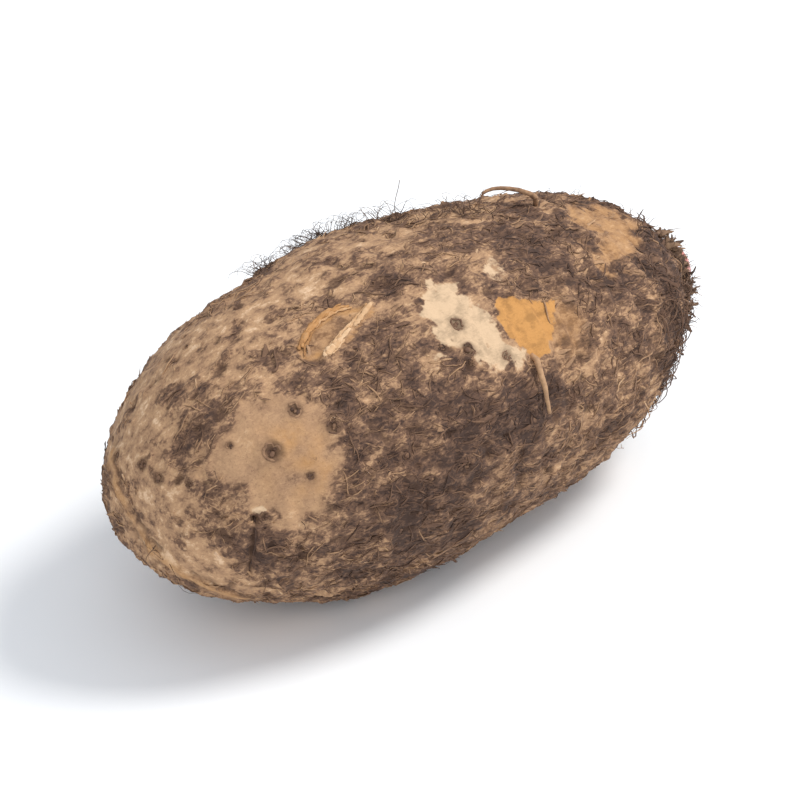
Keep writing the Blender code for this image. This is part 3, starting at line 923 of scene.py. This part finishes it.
def bud_material():
    """Pink bud, paler at its foot and dry and brown at its tip."""
    material, tree, shader = shader_tree("pink bud", 0.42)
    shader.inputs["Specular IOR Level"].default_value = 0.45
    shader.inputs["Subsurface Weight"].default_value = 0.12
    shader.inputs["Subsurface Scale"].default_value = 0.002
    coords = tree.nodes.new("ShaderNodeTexCoord").outputs["Object"]
    drawn = add_node(tree, "ShaderNodeMapping", Vector=coords, Scale=(0.25, 1.0, 1.0)).outputs[0]
    streak = noise_node(tree, drawn, 900, 3, 0.6)
    blotch = noise_node(tree, coords, 260, 3, 0.6)
    bud = look().bud
    drift = math_node(
        tree, "ADD", math_node(tree, "MULTIPLY", streak, 0.5), math_node(tree, "MULTIPLY", blotch, 0.5))
    pink = ramp(tree, drift, ((0.35, shade(bud, 0.62)), (0.5, shade(bud, 1.0)), (0.65, BUD_HIGHLIGHT)))
    crumb = noise_node(tree, coords, 1300, 3, 0.6)
    dry = math_node(tree, "ADD", attribute(tree, "dry"), swing_node(tree, crumb, 1.4))
    brown = ramp(tree, crumb, HUSK_TONES)
    foot = math_node(tree, "MULTIPLY", attribute(tree, "pale"), 0.75)
    pink = mixed(tree, foot, pink, BUD_FOOT_COLOUR)
    colour = mixed(tree, stepped(tree, dry, 0.32, 0.72), pink, brown)
    tree.links.new(colour, shader.inputs["Base Color"])
    bump = add_node(tree, "ShaderNodeBump", Strength=0.4, Distance=0.0004, Height=streak)
    tree.links.new(bump.outputs[0], shader.inputs["Normal"])
    return material


def finish_piece(piece, material, *nodes, slot="corm_skin"):
    """Gives the piece its material, puts it under the root's body and hides the CAD nodes that it stands in
    for. The slot argument is not used.
    """
    piece.data.materials.append(material)
    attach(piece, "root")
    if nodes:
        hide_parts(*nodes)


# Pieces

def crown_centre():
    """Middle of the crown's foot."""
    rim = plain_points(np.array([CROWN_ARC]), np.array([0.0]))[0][0]
    return Vector((rim[0], 0.0, CENTRE_HEIGHT))


def make_skin():
    """The root's skin: a turned lattice pushed out to the rough surface, with the bud's socket."""
    centre = crown_centre()
    top_x = centre.x + CROWN_RISE
    crown = (
        (centre.x + CROWN_RISE * 0.3, CROWN_RADIUS - 0.0004),
        (centre.x + CROWN_RISE * 0.55, CROWN_RADIUS - 0.0013),
        (centre.x + CROWN_RISE * 0.85, SOCKET_RADIUS + CROWN_LIP + 0.0016),
        (top_x, SOCKET_RADIUS + CROWN_LIP),
        (top_x, SOCKET_RADIUS),
        (top_x - SOCKET_DEPTH, SOCKET_RADIUS),
        (top_x - SOCKET_DEPTH, 0.0),
    )
    arcs = np.linspace(0, CROWN_ARC, SKIN_STATIONS + 1)
    outline = [(arc, 0.01 if index else 0.0) for index, arc in enumerate(arcs.tolist())]
    outline += [(index + 1.0, min(radius, 0.01)) for index, (_, radius) in enumerate(crown)]
    bm = spun(outline, SKIN_SIDES)
    layout = np.array([vert.co for vert in bm.verts])
    turns = np.arctan2(layout[:, 2], layout[:, 1])
    on_skin = layout[:, 0] < 0.9
    points, _, fields = skin_shape(layout[on_skin, 0], turns[on_skin])
    placed = layout.copy()
    placed[on_skin] = points
    crown = np.array(crown)[np.round(layout[~on_skin, 0]).astype(int) - 1]
    around = turns[~on_skin]
    placed[~on_skin] = np.stack([
        crown[:, 0], crown[:, 1] * np.cos(around), centre.z + crown[:, 1] * np.sin(around),
    ], axis=1)
    # The crown's dry rim is uneven outside the bud's socket
    outside = crown[:, 1] > SOCKET_RADIUS + 0.0001
    uneven = 0.0009 * noise_at(placed[~on_skin], 0.0022) - 0.0002
    placed[~on_skin, 0] += np.where(outside, uneven, 0.0)
    placed[:, 2] = np.maximum(placed[:, 2], 0.0)
    for vert, place in zip(bm.verts, placed.tolist()):
        vert.co = place
    for name, values in fields.items():
        layer = bm.verts.layers.float.new(name)
        whole = np.full(len(layout), 0.8 if name in ("bark", "dark") else 0.0)
        whole[on_skin] = values
        for vert, value in zip(bm.verts, whole.tolist()):
            vert[layer] = value
    skin = piece_from(bm, "taro_skin")
    finish_piece(skin, skin_material(), "corm")


def make_fibres(name, count, steps, length, width, height, curl, seed, low=0.01, bald=None):
    """Flattened fibres matted over the bark, mostly along the root, thinner at both ends.

    low is the share of the root's length where they start. None grow in the bald stretch.
    """
    draw = np.random.default_rng(seed)
    arcs, turns = even_places(draw, count * 3, low)
    points, _, fields = skin_shape(arcs, turns)
    clumps = smooth(noise_at(points, 0.0075, (3.0, 9.0, 4.0), (1.6, 1, 1)), -0.30, 0.25)
    keep = draw.uniform(0, 1, len(arcs)) < (0.03 + 0.97 * fields["bark"] ** 1.4) * (0.25 + 0.75 * clumps)
    arcs, turns = arcs[keep][:count], turns[keep][:count]
    count = len(arcs)
    lengths = draw.uniform(*length, count)
    headings = draw.normal(0, 0.45, count) + np.where(draw.uniform(0, 1, count) < 0.5, 0, math.pi)
    tops = draw.uniform(*height, count)

    def heights(shares):
        return -FOOT_DEPTH + tops[:, None] * np.sin(math.pi * (0.08 + 0.80 * shares[None, :]))

    paths, under = surface_paths(draw, count, steps, arcs, turns, lengths, headings, curl, heights)
    stays = under["bark"].min(axis=1) > draw.uniform(0.02, 0.45, count)
    if bald:
        far_x, middle, half_turn = bald
        path_turns = np.degrees(np.arctan2(paths[..., 2] - CENTRE_HEIGHT, paths[..., 1]))
        inside = (paths[..., 0] < far_x) & (np.abs(path_turns - middle) < half_turn)
        stays &= ~inside.any(axis=1)
    paths, count = paths[stays], int(stays.sum())
    shares = np.linspace(0, 1, steps)
    radii = draw.uniform(*width, count)[:, None] * (0.45 + 0.55 * np.sin(math.pi * (0.15 + 0.75 * shares)))
    ground = under["tone"][stays].mean(axis=1)
    tones = np.clip(ground + 0.07 + draw.normal(0, 0.11, count), 0, 1)
    fibres = strands(paths, radii, 3, name, tones, 0.45)
    finish_piece(fibres, strand_material(name.replace("_", " "), SKIN_TONES))


def make_hairs():
    """Thin dark hairs in tufts that stand off the skin, and one long upright hair."""
    draw = np.random.default_rng(SEED + 5)
    tufts = np.array(HAIR_TUFTS)
    count = look().hairs
    tuft = draw.choice(len(tufts), count, p=tufts[:, 2] / tufts[:, 2].sum())
    spread = draw.normal(0, 1, (count, 2)) * (0.0016, 0.042)
    arcs = tufts[tuft, 0] + spread[:, 0]
    turns = np.radians(tufts[tuft, 1]) + spread[:, 1]
    loose_arcs, loose_turns = even_places(draw, count // 4, 0.08)
    arcs = np.concatenate([arcs, loose_arcs])
    turns = np.concatenate([turns, loose_turns])
    count = len(arcs)
    loose = np.arange(count) >= look().hairs
    lengths = np.where(loose, draw.uniform(0.002, 0.006, count), draw.uniform(0.003, 0.009, count))
    tops = np.where(loose, draw.uniform(0.0004, 0.0018, count), draw.uniform(0.0006, 0.0046, count))

    def heights(shares):
        return -FOOT_DEPTH + tops[:, None] * np.sin(math.pi * (0.02 + 0.68 * shares[None, :])) ** 1.2

    headings = np.where(draw.uniform(0, 1, count) < 0.65, math.pi, 0) + draw.normal(0, 0.8, count)
    paths, under = surface_paths(draw, count, HAIR_STEPS, arcs, turns, lengths, headings, 0.60, heights)
    # None lie over the bare patches
    stays = (under["cream"] + under["ochre"]).max(axis=1) < 0.3
    paths, count = paths[stays], int(stays.sum())
    (foot_arc, foot_turn), tall, thin = UPRIGHT_HAIR
    foot, _, _ = skin_shape(np.array([foot_arc]), np.array([math.radians(foot_turn)]))
    shares = np.linspace(0, 1, HAIR_STEPS)
    sway = (-0.0006 * np.sin(4 * shares), 0.0004 * np.sin(5 * shares))
    upright = foot + np.stack([*sway, tall * shares], axis=1)
    upright[0, 2] -= 0.0006
    paths = np.concatenate([paths, upright[None]])
    radii = draw.uniform(0.00006, 0.00012, count)[:, None] * (1.0 - 0.6 * shares)
    radii = np.concatenate([radii, np.full((1, HAIR_STEPS), thin)])
    tones = np.append(draw.beta(2.6, 2.4, count), 0.6)
    hairs = strands(paths, radii, 3, "stray_hairs", tones)
    finish_piece(hairs, strand_material("stray hair", DARK_TONES))


def make_flakes(name, count, steps, length, width, height, seed):
    """Torn flakes of old bark, rooted in the skin with their tips a little lifted."""
    draw = np.random.default_rng(seed)
    arcs, turns = even_places(draw, count * 3, 0.03, 0.97)
    _, _, fields = skin_shape(arcs, turns)
    keep = draw.uniform(0, 1, len(arcs)) < (0.04 + 0.96 * fields["bark"]) * (0.45 + 0.55 * arcs / CROWN_ARC)
    arcs, turns = arcs[keep][:count], turns[keep][:count]
    count = len(arcs)
    lengths = draw.uniform(*length, count)
    tops = draw.uniform(*height, count)

    def heights(shares):
        return -0.0003 + (tops[:, None] + 0.0003) * smooth(shares[None, :], 0.0, 1.1) * 1.4

    headings = draw.normal(0, 0.32, count)
    paths, under = surface_paths(draw, count, steps, arcs, turns, lengths, headings, 0.16, heights)
    # None lie over the bare patches
    stays = (under["cream"] + under["ochre"]).max(axis=1) < 0.3
    paths, count = paths[stays], int(stays.sum())
    widths = draw.uniform(*width, count)[:, None]
    profile = np.interp(np.linspace(0, 1, steps), (0, 0.25, 0.6, 0.85, 1.0), (0.8, 1.0, 0.85, 0.55, 0.2))
    radii = widths * profile * draw.uniform(0.55, 1.35, (count, steps))
    ground = under["tone"][stays].mean(axis=1)
    tones = np.clip(ground + 0.05 + draw.normal(0, 0.11, count), 0, 1)
    flakes = strands(paths, radii, 6, name, tones, 0.12)
    finish_piece(flakes, strand_material(name.replace("_", " "), SKIN_TONES))


def rootlet_points(foot, tip, rise, bow=0.0):
    """Path of one rootlet from its foot, bowing over the skin to its tip."""
    shares = np.linspace(0, 1, ROOTLET_STEPS)
    arcs = foot[0] + (tip[0] - foot[0]) * shares + bow * np.sin(math.pi * shares)
    turns = foot[1] + (tip[1] - foot[1]) * shares + 0.05 * np.sin(6.0 * shares)
    points, outward, _ = skin_shape(before_wander(arcs, turns), turns)
    height = np.where(shares < 0.05, -0.0012, rise * np.sin(math.pi * (0.12 + 0.68 * shares)))
    points = points + outward * height[:, None]
    # A stiff rootlet doesn't follow each bump of the skin
    for _ in range(ROOTLET_STIFFNESS):
        points[2:-1] = 0.25 * points[1:-2] + 0.5 * points[2:-1] + 0.25 * points[3:]
    return points


def make_rootlets():
    """Coarse dry rootlets: the arched one on the top edge, the hanging strand, and seeded ones."""
    draw = np.random.default_rng(SEED + 13)
    paths, radii, tones = [], [], []
    shares = np.linspace(0, 1, ROOTLET_STEPS)
    for foot, tip, rise, bow, radius, tone in SEEN_ROOTLETS:
        foot, tip = (foot[0], math.radians(foot[1])), (tip[0], math.radians(tip[1]))
        paths.append(rootlet_points(foot, tip, rise, bow))
        radii.append(radius * (1.0 - 0.45 * shares))
        tones.append(tone)
    while len(paths) < look().rootlets + len(SEEN_ROOTLETS):
        foot = (draw.uniform(0.16, 0.85) * CROWN_ARC, draw.uniform(-math.pi, math.pi))
        length = draw.uniform(0.008, 0.022) * draw.choice((-1, 1))
        tip = (foot[0] + length, foot[1] + draw.uniform(-0.45, 0.45))
        path = rootlet_points(foot, tip, draw.uniform(0.0008, 0.0030))
        # The side that the photo shows carries no more of them
        far_arc, middle, half_turn = SHOWN_SIDE
        shown = foot[0] < far_arc and abs(wrapped(foot[1] - math.radians(middle))) < half_turn
        if shown or path[:, 2].min() < LOWEST_ROOTLET:
            continue
        paths.append(path)
        radii.append(draw.uniform(0.00025, 0.0006) * (1.0 - 0.55 * shares))
        tones.append(draw.uniform(0.2, 0.7))
    jitter = np.where(np.arange(len(paths)) < len(SEEN_ROOTLETS), 0.00003, 0.00012)
    paths = np.array(paths) + jitter[:, None, None] * draw.normal(0, 1, (len(paths), ROOTLET_STEPS, 3))
    rootlets = strands(paths, np.array(radii), 7, "coarse_rootlets", tones)
    finish_piece(rootlets, strand_material("dry rootlet", SKIN_TONES))


def make_scars():
    """The broken rims and dark eyes where old roots came away."""
    draw = np.random.default_rng(SEED + 41)
    scars = np.array(ROOT_SCARS)
    count, steps = len(scars), SCAR_STEPS
    girth = girth_at(scars[:, 0])[:, None]
    reach = draw.uniform(0.62, 0.97, count)[:, None] * math.tau
    swings = draw.uniform(0, math.tau, count)[:, None] + reach * np.linspace(0, 1, steps)
    out = scars[:, 2:3] * (0.85 + 0.10 * draw.normal(0, 1, (count, steps)))
    arcs = scars[:, 0:1] + out * np.cos(swings)
    turns = scars[:, 1:2] + out * np.sin(swings) / girth
    points, outward, fields = skin_shape(before_wander(arcs.ravel(), turns.ravel()), turns.ravel())
    points = (points + 0.00004 * outward).reshape(count, steps, 3)
    points[..., 2] = np.maximum(points[..., 2], FLOOR_GAP)
    ground = fields["tone"].reshape(count, steps).mean(axis=1)
    radii = scars[:, 2:3] * draw.uniform(0.08, 0.22, (count, steps))
    tones = np.clip(ground - draw.uniform(0.14, 0.36, count), 0.05, 0.62)
    rims = strands(points, radii, 5, "scar_rims", tones, 0.6)
    finish_piece(rims, strand_material("scar rim", SKIN_TONES))

    # Each eye is a few torn lumps that overlap
    centres, outward, _ = skin_shape(before_wander(scars[:, 0], scars[:, 1]), scars[:, 1])
    centres = np.repeat(centres, EYE_LUMPS, axis=0)
    outward = np.repeat(outward, EYE_LUMPS, axis=0)
    wide = np.repeat(scars[:, 2:3], EYE_LUMPS, axis=0)
    count *= EYE_LUMPS
    aside = np.cross(outward, draw.normal(0, 1, (count, 3)))
    centres = centres + aside * 0.34 * wide
    stands = draw.uniform(0.20, 0.46, (count, 1)) * wide
    depths = np.array([-0.0005, 0.0, 0.00010]) + stands * np.array([0, 1, 1])
    paths = centres[:, None] + outward[:, None] * depths[..., None]
    paths[..., 2] = np.maximum(paths[..., 2], 0.0009 + depths)
    sizes = wide * draw.uniform(0.22, 0.46, (count, 1)) * np.array([1.0, 0.9, 0.5])
    eyes = strands(paths, sizes, 5, "scar_eyes", draw.uniform(0.05, 0.45, count))
    finish_piece(eyes, strand_material("scar eye", SKIN_TONES))


def make_strip():
    """Frayed edges of the torn strip of inner bark."""
    draw = np.random.default_rng(SEED + 51)
    steps = STRIP_STEPS
    paths, radii, tones = [], [], []
    for places, width, tone, pieces in ((STRIP_LIP, 0.0011, 0.90, 9), (STRIP_TOP, 0.0009, 0.48, 9)):
        marks = np.linspace(0, 1, len(places))
        for _ in range(pieces):
            start = draw.uniform(0, 0.62)
            shares = np.linspace(start, min(1.0, start + draw.uniform(0.30, 0.60)), steps)
            arcs = np.interp(shares, marks, [place[0] for place in places]) + draw.normal(0, 0.0006)
            turns = np.radians(np.interp(shares, marks, [place[1] for place in places]) + draw.normal(0, 0.7))
            points, outward, _ = skin_shape(before_wander(arcs, turns), turns)
            curl = 0.0001 + draw.uniform(0, 0.0004) + 0.00012 * draw.normal(0, 1, steps)
            paths.append(points + outward * curl[:, None])
            taper = np.sin(math.pi * np.linspace(0.08, 0.94, steps)) ** 0.6
            radii.append(draw.uniform(0.45, 1.0) * width * taper * draw.uniform(0.6, 1.3, steps))
            tones.append(np.clip(tone + draw.normal(0, 0.12), 0, 1))
    strip = strands(np.array(paths), np.array(radii), 7, "torn_strip", tones, 0.35)
    finish_piece(strip, strand_material("torn strip", STRIP_TONES))


def make_husk():
    """Torn strips and fibres of the old leaf sheaths that stand round the bud."""
    draw = np.random.default_rng(SEED + 21)
    centre = crown_centre()
    shares = np.linspace(0, 1, HUSK_STEPS)
    for name, count, width, tall, flat in (
        ("sheath_husk", look().husk_strips, (0.0003, 0.0013), (0.0015, 0.0056), 0.16),
        ("husk_fibres", look().husk_fibres, (0.00008, 0.00020), (0.0020, 0.0075), 1.0),
    ):
        turns = draw.uniform(0, math.tau, count)
        low = draw.uniform(0, 1, count)
        radius = SOCKET_RADIUS + 0.0008 + 0.0062 * low
        foot = centre.x + CROWN_RISE * (0.80 - 1.25 * low)
        rise = draw.uniform(*tall, count) * (1.15 - 0.45 * low)
        lean = draw.uniform(-0.0008, 0.0032, count) * (0.3 + 0.9 * low)
        curl = draw.normal(0, 0.0012, (count, HUSK_STEPS, 3)).cumsum(axis=1) * 0.30 * shares[None, :, None]
        swung = turns[:, None] + draw.normal(0, 0.16, count)[:, None] * shares**2
        out = radius[:, None] + lean[:, None] * shares**1.4
        paths = np.stack([
            foot[:, None] + rise[:, None] * shares ** 0.9,
            out * np.cos(swung),
            centre.z + out * np.sin(swung),
        ], axis=-1) + curl
        profile = np.array([1.0, 1.05, 1.0, 0.9, 0.85, 0.7, 0.55, 0.25])[None, :]
        radii = draw.uniform(*width, count)[:, None] * profile * draw.uniform(0.6, 1.3, (count, HUSK_STEPS))
        husk = strands(paths, radii, 6 if flat < 1 else 3, name, draw.beta(1.8, 2.2, count), flat)
        finish_piece(husk, strand_material(name.replace("_", " "), HUSK_TONES))


def make_bud():
    """The shoot bud: a blunt cone of wrapped pink leaves with a dry torn tip."""
    centre = crown_centre()
    top_x = centre.x + CROWN_RISE
    radius = SOCKET_RADIUS - BUD_GAP
    foot_x = top_x - SOCKET_DEPTH + BUD_GAP
    outline = [(foot_x, 0.0), (foot_x, radius), (top_x, radius)]
    for step in range(1, BUD_RINGS + 1):
        swing = math.radians(1.55 * step)
        outline.append((top_x + BUD_RISE * math.sin(swing), radius * math.cos(swing) ** 0.80))
    outline.append((top_x + BUD_RISE * 0.992, 0.0))
    bm = spun(outline, BUD_SIDES)
    dry = bm.verts.layers.float.new("dry")
    pale = bm.verts.layers.float.new("pale")
    for vert in bm.verts:
        up = (vert.co.x - top_x) / BUD_RISE
        if up > 0.01:
            away = Vector((0, vert.co.y, vert.co.z))
            turn = math.atan2(vert.co.z, vert.co.y)
            wrap = (turn / math.tau + 0.30 * up + 0.04 * noise.noise(vert.co / 0.004)) * 2 % 1.0
            fold = -0.0005 * float(smooth(wrap, 0.0, 1.0)) * min(1.0, 4 * up)
            rough = 0.00020 * noise.noise(Vector((vert.co.x / 0.006, vert.co.y / 0.0016, vert.co.z / 0.0016)))
            spread = away.length / radius + 0.14 * noise.noise(vert.co / 0.0030)
            tip = float(1 - smooth(spread, 0.20, 0.50))
            vert[dry] = tip + 0.35 * max(0.0, 1 - abs(wrap - 0.02) / 0.02)
            vert.co.x += tip * (0.0009 * noise.noise(vert.co / 0.0011) - 0.0003)
            vert[pale] = float(1 - smooth(up + 0.10 * noise.noise(vert.co / 0.005), 0.03, 0.22))
            if away.length > 1e-6:
                vert.co += away.normalized() * (fold + rough - 0.0001)
    bmesh.ops.translate(bm, verts=bm.verts, vec=(0, 0, centre.z))
    bud = piece_from(bm, "pink_bud")
    finish_piece(bud, bud_material(), "shoot_bud", slot="bud")

    draw = np.random.default_rng(SEED + 31)
    count, steps = BUD_SCRAPS, SCRAP_STEPS
    shares = np.linspace(0, 1, steps)
    swings = draw.uniform(0, math.tau, count)[:, None] + draw.normal(0, 0.5, (count, 1)) * shares
    out = draw.uniform(0.0001, 0.0026, count)[:, None] * (1 + 0.45 * shares ** 2)
    rise = draw.uniform(0.0007, 0.0026, count)[:, None] * shares ** 0.8
    # Each scrap starts just under the bud's rounded end
    foot = BUD_RISE * np.sqrt(1 - (out[:, :1] / radius) ** 2.5) - 0.0007
    paths = np.stack([
        top_x + foot + rise, out * np.cos(swings), centre.z + out * np.sin(swings),
    ], axis=-1) + 0.00010 * draw.normal(0, 1, (count, steps, 3))
    profile = np.array([1.0, 1.1, 1.0, 0.9, 0.75, 0.55, 0.3])
    radii = draw.uniform(0.00012, 0.00042, count)[:, None] * profile
    tip = strands(paths, radii, 5, "bud_tip_scraps", draw.beta(2.0, 2.0, count), 0.4)
    finish_piece(tip, strand_material("bud tip scrap", HUSK_TONES), slot="bud")


def make_stage():
    """Plain pale floor, soft light and the camera."""
    bm = bmesh.new()
    bmesh.ops.create_grid(bm, x_segments=1, y_segments=1, size=FLOOR_HALF_SIDE)
    floor = piece_from(bm, "floor", False)
    material, _, shader = shader_tree("pale floor", 0.95)
    shader.inputs["Base Color"].default_value = FLOOR_COLOUR
    shader.inputs["Specular IOR Level"].default_value = 0.0
    floor.data.materials.append(material)

    scene = bpy.context.scene
    world = bpy.data.worlds.new("studio")
    world.use_nodes = True
    background = world.node_tree.nodes["Background"]
    background.inputs["Color"].default_value = STUDIO_COLOUR
    background.inputs["Strength"].default_value = STUDIO_STRENGTH
    scene.world = world

    for name, place, size, power, colour in LIGHTS:
        light = bpy.data.lights.new(name, "AREA")
        light.shape = "DISK"
        light.size = size
        light.energy = power
        light.color = colour
        lamp = bpy.data.objects.new(name, light)
        lamp.location = place
        aim = Vector(LIGHT_SPOT) - Vector(place)
        lamp.rotation_euler = aim.to_track_quat("-Z", "Y").to_euler()
        scene.collection.objects.link(lamp)

    azimuth, elevation = math.radians(CAMERA_AZIMUTH), math.radians(CAMERA_ELEVATION)
    back = Vector((
        math.sin(azimuth) * math.cos(elevation),
        -math.cos(azimuth) * math.cos(elevation),
        math.sin(elevation),
    ))
    right = Vector((math.cos(azimuth), math.sin(azimuth), 0.0))
    up = back.cross(right)
    place = Vector((0, 0, AIM_HEIGHT)) + back * CAMERA_DISTANCE
    aim = -back - right * (OFF_RIGHT / PIXELS_PER_UNIT) + up * (OFF_DOWN / PIXELS_PER_UNIT)
    camera_data = bpy.data.cameras.new("camera")
    camera_data.sensor_width = SENSOR_WIDTH
    camera_data.lens = PIXELS_PER_UNIT * SENSOR_WIDTH / FRAME_SIDE
    camera_data.clip_start = 0.01
    camera = bpy.data.objects.new("camera", camera_data)
    camera.location = place
    camera.rotation_euler = aim.to_track_quat("-Z", "Y").to_euler()
    scene.collection.objects.link(camera)
    scene.camera = camera
    scene.view_settings.view_transform = "Standard"
    scene.view_settings.look = "None"


class TARO_OT_skin(bpy.types.Operator):
    """Makes the root's rough skin"""
    bl_idname = "taro.skin"
    bl_label = "Skin"

    def execute(self, context):
        make_skin()
        return {"FINISHED"}


class TARO_OT_fibres(bpy.types.Operator):
    """Makes the fibres that are matted over the bark"""
    bl_idname = "taro.fibres"
    bl_label = "Fibres"

    def execute(self, context):
        make_fibres(
            "matted_fibres", look().dark_fibres, steps=7, length=(0.0025, 0.0085),
            width=(0.00014, 0.00038), height=(0.0002, 0.0005), curl=0.24, seed=SEED + 1,
        )
        make_fibres(
            "fine_fibres", look().fine_fibres, steps=5, length=(0.0010, 0.0035),
            width=(0.00010, 0.00024), height=(0.0002, 0.0004), curl=0.30, seed=SEED + 2,
        )
        make_fibres(
            "shoot_shag", look().shoot_shag, steps=8, length=(0.0060, 0.0150),
            width=(0.00012, 0.00032), height=(0.0006, 0.0026), curl=0.34, seed=SEED + 3,
            low=0.80, bald=SHAG_FREE,
        )
        return {"FINISHED"}


class TARO_OT_hairs(bpy.types.Operator):
    """Makes the thin hairs that stand off the skin"""
    bl_idname = "taro.hairs"
    bl_label = "Stray hairs"

    def execute(self, context):
        make_hairs()
        return {"FINISHED"}


class TARO_OT_flakes(bpy.types.Operator):
    """Makes the torn bark flakes"""
    bl_idname = "taro.flakes"
    bl_label = "Bark flakes"

    def execute(self, context):
        make_flakes(
            "bark_flakes", look().flakes, steps=6, length=(0.0025, 0.0065),
            width=(0.0003, 0.0010), height=(0.0002, 0.0008), seed=SEED + 9,
        )
        make_flakes(
            "bark_scurf", look().scurf, steps=5, length=(0.0009, 0.0026),
            width=(0.0002, 0.0006), height=(0.0001, 0.0004), seed=SEED + 10,
        )
        return {"FINISHED"}


class TARO_OT_rootlets(bpy.types.Operator):
    """Makes the coarse rootlets"""
    bl_idname = "taro.rootlets"
    bl_label = "Rootlets"

    def execute(self, context):
        make_rootlets()
        return {"FINISHED"}


class TARO_OT_marks(bpy.types.Operator):
    """Makes the root scars and the torn strip"""
    bl_idname = "taro.marks"
    bl_label = "Scars and strip"

    def execute(self, context):
        make_scars()
        make_strip()
        return {"FINISHED"}


class TARO_OT_shoot(bpy.types.Operator):
    """Makes the shoot bud and the torn husk round it"""
    bl_idname = "taro.shoot"
    bl_label = "Bud and husk"

    def execute(self, context):
        make_husk()
        make_bud()
        return {"FINISHED"}


class TARO_OT_stage(bpy.types.Operator):
    """Makes the floor, the lights and the camera"""
    bl_idname = "taro.stage"
    bl_label = "Stage"

    def execute(self, context):
        make_stage()
        return {"FINISHED"}


STEPS = (
    TARO_OT_skin, TARO_OT_fibres, TARO_OT_hairs, TARO_OT_flakes,
    TARO_OT_rootlets, TARO_OT_marks, TARO_OT_shoot, TARO_OT_stage,
)


class TARO_PT_panel(bpy.types.Panel):
    """Lists the root's settings and pieces"""
    bl_idname = "TARO_PT_panel"
    bl_label = "Taro root"
    bl_space_type = "VIEW_3D"
    bl_region_type = "UI"
    bl_category = "Taro root"

    def draw(self, context):
        for name in TaroLook.__annotations__:
            self.layout.prop(context.scene.taro_look, name)
        for step in STEPS:
            self.layout.operator(step.bl_idname)


CLASSES = (TaroLook, *STEPS, TARO_PT_panel)


def register():
    """Adds the settings, the operators and the panel."""
    for item in CLASSES:
        bpy.utils.register_class(item)
    bpy.types.Scene.taro_look = bpy.props.PointerProperty(type=TaroLook)


def unregister():
    """Takes them away again."""
    del bpy.types.Scene.taro_look
    for item in reversed(CLASSES):
        bpy.utils.unregister_class(item)


def main():
    """Makes every piece in order."""
    register()
    bpy.ops.taro.stage()
    bpy.ops.taro.skin()
    bpy.ops.taro.fibres()
    bpy.ops.taro.hairs()
    bpy.ops.taro.flakes()
    bpy.ops.taro.rootlets()
    bpy.ops.taro.marks()
    bpy.ops.taro.shoot()
    bpy.context.view_layer.update()


if __name__ == "__main__":
    main()
